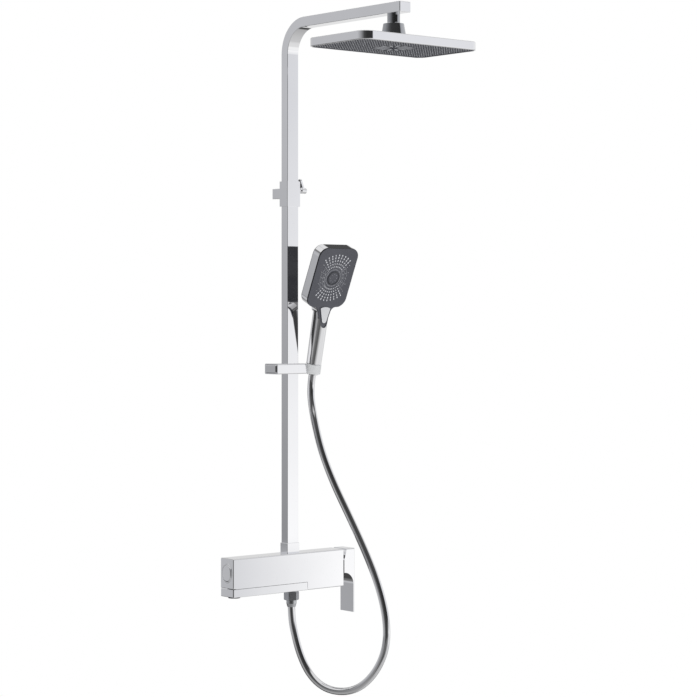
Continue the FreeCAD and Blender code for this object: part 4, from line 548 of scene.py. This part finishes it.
def along_floor(x_share, y_share, name):
    """Sum of the direction's X and Y parts, each times its share."""
    x_term = math_node(world_tree, "MULTIPLY", x_part, x_share)
    y_term = math_node(world_tree, "MULTIPLY", y_part, y_share)
    return math_node(world_tree, "ADD", x_term, y_term, name)


to_camera = along_floor(-VIEW_DIRECTION.x, -VIEW_DIRECTION.y, "towards camera")
to_right = along_floor(VIEW_DIRECTION.y, -VIEW_DIRECTION.x, "towards right")
turn = math_node(world_tree, "ARCTAN2", to_right, to_camera, "turn")
turn_part = math_node(world_tree, "MULTIPLY_ADD", turn, 1 / (2 * math.pi), "turn from 0 to 1")
turn_part.node.inputs[2].default_value = 0.5
print("direction:", len(world_tree.nodes), "nodes")

# %% [markdown]
# Seven bands of the room lie one above the other. Each is a ramp of tones once round, with the turn in
# degrees. The dark part near 0 is the unlit side of the room, behind the camera.

# %% Bands of the room
COOL_GREY = np.array([0.985, 0.995, 1.03])


def room(name, stops):
    """Ramp of tones once round the room, from (turn in degrees, grey or colour) pairs."""
    node = add_node(world_tree, "ShaderNodeValToRGB", name)
    elements = node.color_ramp.elements
    while len(elements) < len(stops):
        elements.new(0.5)
    for element, (degrees, tone) in zip(elements, stops):
        element.position = (degrees + 180) / 360
        colour = (tone, tone, tone) if isinstance(tone, float) else tone
        element.color = (*colour, 1.0)
    world_tree.links.new(turn_part, node.inputs[0])
    return node.outputs[0]


ground_room = room("room underfoot", [
    (-180, 0.4), (-166, 0.06), (-112, 0.06), (-95, 0.4), (-20, 0.35), (80, 0.6), (130, 0.5), (180, 0.4),
])
floor_room = room("room near the floor", [
    (-180, 0.06), (-120, 0.06), (-95, 0.3), (-50, 0.3), (-30, 0.3), (-20, 0.1), (20, 0.1), (32, 0.3),
    (80, 0.75), (130, 0.5), (160, 0.1), (180, 0.06),
])
skirt_room = room("room at knee height", [
    (-180, 0.78), (-165, 0.6), (-104, COOL_GREY * 0.5), (-58, 0.45), (-34, 0.15), (30, 0.15), (58, 0.6),
    (80, 0.9), (96, 0.9), (115, 0.72), (150, 0.62), (180, 0.78),
])
low_room = room("room below the horizon", [
    (-180, 0.78), (-165, 0.6), (-104, COOL_GREY * 0.5), (-99, COOL_GREY * 0.35), (-58, 0.4), (-34, 0.05),
    (30, 0.05), (58, 0.6), (76.5, COOL_GREY * 0.61), (80.2, 1.0), (96, 1.0), (115, 0.72), (150, 0.62),
    (180, 0.78),
])
level_room = room("room at the horizon", [
    (-180, 0.85), (-165, 0.4), (-100, COOL_GREY * 0.255), (-58, COOL_GREY * 0.25), (-34, 0.05), (30, 0.05),
    (55, 0.75), (76, 1.0), (96, 1.0), (115, 0.72), (150, 0.6), (180, 0.85),
])
high_room = room("room above the horizon", [
    (-180, 0.72), (-165, 0.6), (-100, COOL_GREY * 0.5), (-58, COOL_GREY * 0.3), (-20, 0.06), (10, 0.03),
    (70, 0.03), (77, COOL_GREY * 0.6), (80, COOL_GREY * 0.76), (150, 0.85), (180, 0.72),
])
ceiling_room = room("room overhead", [
    (-180, 0.07), (-150, 0.07), (-130, 0.6), (-112, 0.6), (-92, 0.2), (-50, 0.07), (80, 0.07), (105, 0.6),
    (140, 0.6), (155, 0.07), (180, 0.07),
])
print("bands:", len(world_tree.nodes), "nodes")

# %% [markdown]
# The bands are mixed by the height of the direction, which is -1 straight down and 1 straight up. A
# narrow change gives a firm line in the chrome and a wide one a soft gradient. A pale skylight closes
# the top.

# %% Bands by height
SKYLIGHT_TONE = 0.75


def change_with_height(below, above, low, high):
    """Mix that goes from one tone to another between two heights of the direction."""
    height = add_node(world_tree, "ShaderNodeMapRange", "height", From_Min=low, From_Max=high)
    world_tree.links.new(z_part, height.inputs["Value"])
    mix = add_node(world_tree, "ShaderNodeMix", "by height", data_type="RGBA")
    world_tree.links.new(height.outputs[0], mix.inputs["Factor"])
    for socket, tone in ((mix.inputs[6], below), (mix.inputs[7], above)):
        if isinstance(tone, float):
            socket.default_value = (tone, tone, tone, 1)
        else:
            world_tree.links.new(tone, socket)
    return mix.outputs[2]


walls = change_with_height(level_room, high_room, -0.12, 0.1)
for band, low, high in ((low_room, -0.116, -0.108), (skirt_room, -0.2, -0.165),
                        (floor_room, -0.36, -0.3), (ground_room, -0.62, -0.54)):
    walls = change_with_height(band, walls, low, high)
walls = change_with_height(walls, ceiling_room, 0.36, 0.5)
mirror_room = change_with_height(walls, SKYLIGHT_TONE, 0.59, 0.68)
print("heights:", len(world_tree.nodes), "nodes")

# %% [markdown]
# Three kinds of rays see three worlds. The camera, and anything seen through clear material, meets white
# paper. Mirror rays meet the painted room. All other rays get an even soft light, for the matt surfaces.

# %% Rays that see the white paper and rays that see the room
SOFT_LIGHT = 0.62
WHITE = (1.0, 1.0, 1.0, 1.0)
light_path = add_node(world_tree, "ShaderNodeLightPath", "rays")
soft = add_node(world_tree, "ShaderNodeBackground", "soft light", Color=WHITE, Strength=SOFT_LIGHT)
paper = add_node(world_tree, "ShaderNodeBackground", "white paper", Color=WHITE, Strength=1.0)
mirrored = add_node(world_tree, "ShaderNodeBackground", "mirrored room", Strength=1.0)
world_tree.links.new(mirror_room, mirrored.inputs["Color"])
seen = math_node(world_tree, "MAXIMUM", light_path.outputs["Is Camera Ray"],
                 light_path.outputs["Is Transmission Ray"], "seen")
add_gloss = add_node(world_tree, "ShaderNodeMixShader", "glossy rays")
world_tree.links.new(light_path.outputs["Is Glossy Ray"], add_gloss.inputs[0])
world_tree.links.new(soft.outputs[0], add_gloss.inputs[1])
world_tree.links.new(mirrored.outputs[0], add_gloss.inputs[2])
add_paper = add_node(world_tree, "ShaderNodeMixShader", "camera rays")
world_tree.links.new(seen, add_paper.inputs[0])
world_tree.links.new(add_gloss.outputs[0], add_paper.inputs[1])
world_tree.links.new(paper.outputs[0], add_paper.inputs[2])
world_out = add_node(world_tree, "ShaderNodeOutputWorld", "world out")
world_tree.links.new(add_paper.outputs[0], world_out.inputs["Surface"])
scene.view_settings.view_transform = "Standard"
print("world:", len(world_tree.nodes), "nodes")

# %% [markdown]
# A broad lamp from the upper left front and a weaker one from the right model the matt pieces. They stay
# out of mirror images, where they would show as hard squares.

# %% Lamps
LAMP_AIM = Vector((0, -0.2, 0.5))
LAMP_SIZE = 1.6


def soft_lamp(name, place, power):
    """Square area lamp that faces the shower and stays out of mirror images."""
    data = bpy.data.lights.new(name, "AREA")
    data.size = LAMP_SIZE
    data.energy = power
    lamp = bpy.data.objects.new(name, data)
    lamp.location = place
    lamp.rotation_mode = "QUATERNION"
    lamp.rotation_quaternion = (LAMP_AIM - Vector(place)).to_track_quat("-Z", "Y")
    lamp.visible_glossy = False
    scene.collection.objects.link(lamp)


soft_lamp("key_lamp", (-1.6, -2.6, 2.6), power=55)
soft_lamp("fill_lamp", (2.4, -1.8, 1.2), power=18)
print("lamps:", len(bpy.data.lights))

# %% [markdown]
# A pale floor lies one metre below the bar, where a bathroom floor would be, and takes the soft shadow.
# It fades into the paper towards its edge, and it can't be seen from below.

# %% Floor
FLOOR_Z = -1.0
FLOOR_RADIUS = 2.3
FLOOR_SIDES = 128
FADE_START = 1.2
FLOOR_COLOUR = (0.86, 0.86, 0.87, 1)
FLOOR_ROUGHNESS = 0.7
floor_angle = np.linspace(0, 2 * np.pi, FLOOR_SIDES, endpoint=False)
floor_edge = np.stack([np.cos(floor_angle), np.sin(floor_angle), np.zeros(FLOOR_SIDES)], -1) * FLOOR_RADIUS
floor_mesh = bpy.data.meshes.new("floor")
floor_mesh.from_pydata((floor_edge + (0, 0, FLOOR_Z)).tolist(), [], [list(range(FLOOR_SIDES))])
floor = bpy.data.objects.new("floor", floor_mesh)
scene.collection.objects.link(floor)
floor.visible_glossy = False
floor_paint = bpy.data.materials.new("pale_floor")
floor_paint.use_nodes = True
floor_tree = floor_paint.node_tree
floor_shader = floor_tree.nodes["Principled BSDF"]
floor_shader.inputs["Base Color"].default_value = FLOOR_COLOUR
floor_shader.inputs["Roughness"].default_value = FLOOR_ROUGHNESS
floor_mesh.materials.append(floor_paint)
print("floor at", FLOOR_Z)

# %% Fade of the floor
floor_place = add_node(floor_tree, "ShaderNodeTexCoord", "place")
flat_place = add_node(floor_tree, "ShaderNodeVectorMath", "flat place", operation="MULTIPLY")
flat_place.inputs[1].default_value = (1, 1, 0)
distance = add_node(floor_tree, "ShaderNodeVectorMath", "distance", operation="LENGTH")
floor_tree.links.new(floor_place.outputs["Object"], flat_place.inputs[0])
floor_tree.links.new(flat_place.outputs[0], distance.inputs[0])
fade = add_node(
    floor_tree, "ShaderNodeMapRange", "fade to paper",
    From_Min=FADE_START, From_Max=FLOOR_RADIUS, To_Min=1.0, To_Max=0.0)
floor_tree.links.new(distance.outputs["Value"], fade.inputs["Value"])
side_seen = add_node(floor_tree, "ShaderNodeNewGeometry", "side seen")
from_above = math_node(floor_tree, "SUBTRACT", 1.0, side_seen.outputs["Backfacing"])
shown = math_node(floor_tree, "MULTIPLY", fade.outputs[0], from_above)
floor_tree.links.new(shown, floor_shader.inputs["Alpha"])
print("floor finish:", len(floor_tree.nodes), "nodes")

# %% [markdown]
# Chrome is a mirror with a faint cool cast. Even a clean mirror has fine wiping marks and a few dull
# patches, and these belong to every polished piece, so they are one node group with its own values.

# %% Wiping marks
FLOAT, COLOUR = "NodeSocketFloat", "NodeSocketColor"
DULL_FROM, DULL_TO = 0.42, 0.75
GRAIN_SCALE = 420.0


def new_group(name, inputs, outputs):
    """Shader node group with named float or colour sockets."""
    group = bpy.data.node_groups.new(name, "ShaderNodeTree")
    for label, kind, value in inputs:
        socket = group.interface.new_socket(label, in_out="INPUT", socket_type=kind)
        socket.default_value = value
    for label, kind in outputs:
        group.interface.new_socket(label, in_out="OUTPUT", socket_type=kind)
    start = add_node(group, "NodeGroupInput", "in")
    end = add_node(group, "NodeGroupOutput", "out")
    return group, start, end


marks, marks_in, marks_out = new_group(
    "Wiping marks",
    [("Clear", FLOAT, 0.03), ("Dull", FLOAT, 0.09), ("Patch size", FLOAT, 9.0),
     ("Bright tone", COLOUR, (1, 1, 1, 1)), ("Dull tone", COLOUR, (0.9, 0.9, 0.9, 1))],
    [("Tone", COLOUR), ("Roughness", FLOAT), ("Height", FLOAT)],
)
place = add_node(marks, "ShaderNodeTexCoord", "place")
patches = add_node(marks, "ShaderNodeTexNoise", "patches", Detail=5.0, Roughness=0.6)
marks.links.new(place.outputs["Object"], patches.inputs["Vector"])
marks.links.new(marks_in.outputs["Patch size"], patches.inputs["Scale"])
spread = add_node(marks, "ShaderNodeMapRange", "spread", From_Min=DULL_FROM, From_Max=DULL_TO)
marks.links.new(patches.outputs["Fac"], spread.inputs["Value"])
rough = add_node(marks, "ShaderNodeMapRange", "roughness")
marks.links.new(spread.outputs[0], rough.inputs["Value"])
marks.links.new(marks_in.outputs["Clear"], rough.inputs["To Min"])
marks.links.new(marks_in.outputs["Dull"], rough.inputs["To Max"])
tone = add_node(marks, "ShaderNodeMix", "tone", data_type="RGBA")
marks.links.new(spread.outputs[0], tone.inputs["Factor"])
marks.links.new(marks_in.outputs["Bright tone"], tone.inputs[6])
marks.links.new(marks_in.outputs["Dull tone"], tone.inputs[7])
grain = add_node(marks, "ShaderNodeTexNoise", "grain", Scale=GRAIN_SCALE, Detail=3.0)
marks.links.new(place.outputs["Object"], grain.inputs["Vector"])
marks.links.new(tone.outputs[2], marks_out.inputs["Tone"])
marks.links.new(rough.outputs[0], marks_out.inputs["Roughness"])
marks.links.new(grain.outputs["Fac"], marks_out.inputs["Height"])
print("group:", marks.name, len(marks.nodes), "nodes")

# %% [markdown]
# A finish is a bright and a dull tone, the roughness of its clear and of its dull patches, and how big
# the patches are. Metals turn Metallic fully on. Most turned, moulded and rubber pieces get a fine grain.

# %% Finishes made from the marks
GRAIN_DEPTH = 0.0002


def finish_with_marks(name, bright, dull, clear, rough, patch=9.0, grain=0.0, metallic=0.0, **sockets):
    """Principled finish whose colour and roughness follow the wiping marks."""
    paint = bpy.data.materials.new(name)
    paint.use_nodes = True
    tree = paint.node_tree
    shader = tree.nodes["Principled BSDF"]
    shader.inputs["Metallic"].default_value = metallic
    for key, value in sockets.items():
        shader.inputs[key.replace("_", " ")].default_value = value
    use = add_node(tree, "ShaderNodeGroup", "wiping marks", node_tree=marks)
    use.inputs["Clear"].default_value = clear
    use.inputs["Dull"].default_value = rough
    use.inputs["Patch size"].default_value = patch
    use.inputs["Bright tone"].default_value = (*bright, 1)
    use.inputs["Dull tone"].default_value = (*dull, 1)
    tree.links.new(use.outputs["Tone"], shader.inputs["Base Color"])
    tree.links.new(use.outputs["Roughness"], shader.inputs["Roughness"])
    if grain:
        bump = add_node(tree, "ShaderNodeBump", "grain", Strength=grain, Distance=GRAIN_DEPTH)
        tree.links.new(use.outputs["Height"], bump.inputs["Height"])
        tree.links.new(bump.outputs[0], shader.inputs["Normal"])
    return paint


# %% Metals
chrome = finish_with_marks(
    "polished_chrome", (0.97, 0.97, 0.985), (0.95, 0.95, 0.965), 0.025, 0.05, metallic=1.0)
# A darker copy of the chrome. On the arm stub its darker tone is painted shade.
dark_and_shaded_chrome = finish_with_marks(
    "dark_and_shaded_chrome", (0.5, 0.51, 0.53), (0.44, 0.45, 0.47), 0.08, 0.14, metallic=1.0)
satin_chrome = finish_with_marks(
    "satin_chrome", (0.62, 0.63, 0.65), (0.55, 0.56, 0.58), 0.22, 0.32, metallic=1.0)
push_chrome = finish_with_marks(
    "push_chrome", (0.76, 0.77, 0.79), (0.7, 0.71, 0.73), 0.2, 0.3, metallic=1.0)
brushed_chrome = finish_with_marks(
    "brushed_chrome", (0.62, 0.63, 0.66), (0.55, 0.56, 0.59), 0.38, 0.46, metallic=1.0)
hose_skin = finish_with_marks(
    "hose_skin", (0.9, 0.9, 0.915), (0.84, 0.84, 0.86), 0.06, 0.1, patch=14, metallic=1.0)
brass = finish_with_marks(
    "turned_brass", (0.75, 0.58, 0.3), (0.6, 0.44, 0.2), 0.22, 0.4, patch=30, grain=0.15, metallic=1.0)
steel = finish_with_marks(
    "turned_steel", (0.66, 0.67, 0.69), (0.5, 0.51, 0.53), 0.2, 0.34, patch=25, grain=0.1, metallic=1.0)
print("metals:", len(bpy.data.materials))

# %% Plastics and rubber
pearl_grey = finish_with_marks(
    "pearl_grey", (0.72, 0.73, 0.74), (0.67, 0.68, 0.69), 0.3, 0.4, Coat_Weight=0.3)
grey_plastic = finish_with_marks(
    "grey_plastic", (0.5, 0.51, 0.53), (0.42, 0.43, 0.45), 0.4, 0.55, patch=20, grain=0.2)
dark_plastic = finish_with_marks(
    "dark_plastic", (0.04, 0.042, 0.05), (0.05, 0.052, 0.06), 0.22, 0.34, patch=16, grain=0.08)
spray_face = finish_with_marks(
    "spray_face", (0.075, 0.077, 0.093), (0.095, 0.097, 0.115), 0.24, 0.36, patch=16, grain=0.08)
matt_face = finish_with_marks(
    "matt_face", (0.05, 0.052, 0.068), (0.062, 0.064, 0.08), 0.5, 0.62, patch=16, grain=0.1,
    Specular_IOR_Level=0.12)
# Near black: a painted shade that draws the dark line round the face of the hand shower.
painted_shade_edge = finish_with_marks(
    "painted_shade_edge", (0.008, 0.008, 0.01), (0.012, 0.012, 0.014), 0.25, 0.36, patch=16,
    Specular_IOR_Level=0.3)
pale_nozzle = finish_with_marks(
    "pale_nozzle", (0.74, 0.75, 0.78), (0.66, 0.67, 0.7), 0.45, 0.6, patch=60, grain=0.1)
soft_nozzle = finish_with_marks(
    "soft_nozzle", (0.5, 0.51, 0.54), (0.4, 0.41, 0.44), 0.5, 0.65, patch=60, grain=0.1)
seal_rubber = finish_with_marks(
    "seal_rubber", (0.02, 0.02, 0.021), (0.035, 0.035, 0.036), 0.5, 0.7, patch=40, grain=0.3)
print("finishes:", len(bpy.data.materials))

# %% [markdown]
# Each solid gets its finish by name. What the water touches inside is brass, seals are rubber, and most
# of what the eye meets is chrome. The spray faces, their nozzles and the pearl cradle stand apart.

# %% Dress the solids
BRASS = ["waterway", "diverter_gland", "diverter_spool", "outlet_nipple", "bracket_post", "riser_foot"]
STEEL = ["cartridge_spindle", "lever_pin", "spout_clip", "bracket_screw", "cradle_bolt",
         "inlet_filter_left", "inlet_filter_right"]
GREY = ["cartridge", "slider_liner", "ball_seat"]
DARK = ["handset_back", "spout_aerator"]
FACE = ["handset_face", "handset_disc"]
MATT = ["head_face"]
# The swivel bell and the arm stub take the darker chrome, whose tone on the arm stub is painted shade.
DARK_AND_SHADED = ["swivel_bell", "arm_stub"]
SATIN = ["hose_ferrule"]
PUSH = ["mode_button"]
BRUSHED = ["hose_nut"]
PEARL = ["cradle"]
SOFT = ["head_nozzles", "handset_nozzles"]
RUBBER = ["spout_seals", "hose_washer"]
finish_of = {name: chrome for name in nodes}
for names, paint in ((BRASS, brass), (STEEL, steel), (GREY, grey_plastic), (DARK, dark_plastic),
                     (FACE, spray_face), (MATT, matt_face), (DARK_AND_SHADED, dark_and_shaded_chrome), (SATIN, satin_chrome),
                     (PUSH, push_chrome), (BRUSHED, brushed_chrome), (PEARL, pearl_grey),
                     (SOFT, soft_nozzle), (RUBBER, seal_rubber)):
    finish_of.update({name: paint for name in names})
for name, solid in nodes.items():
    solid.data.materials.clear()
    solid.data.materials.append(finish_of[name])
print("dressed solids:", len(finish_of))

# %% Dress the new pieces
for things, paint in ((hose_parts, hose_skin), ([fine_nozzles, rays, ticks, mist], soft_nozzle),
                      ([hub], matt_face), ([slots], pale_nozzle), ([ring], dark_plastic),
                      ([edge], painted_shade_edge), ([strainer], grey_plastic), (threads, chrome)):
    for thing in things:
        thing.data.materials.append(paint)
    print(paint.name, "on", [thing.name for thing in things])
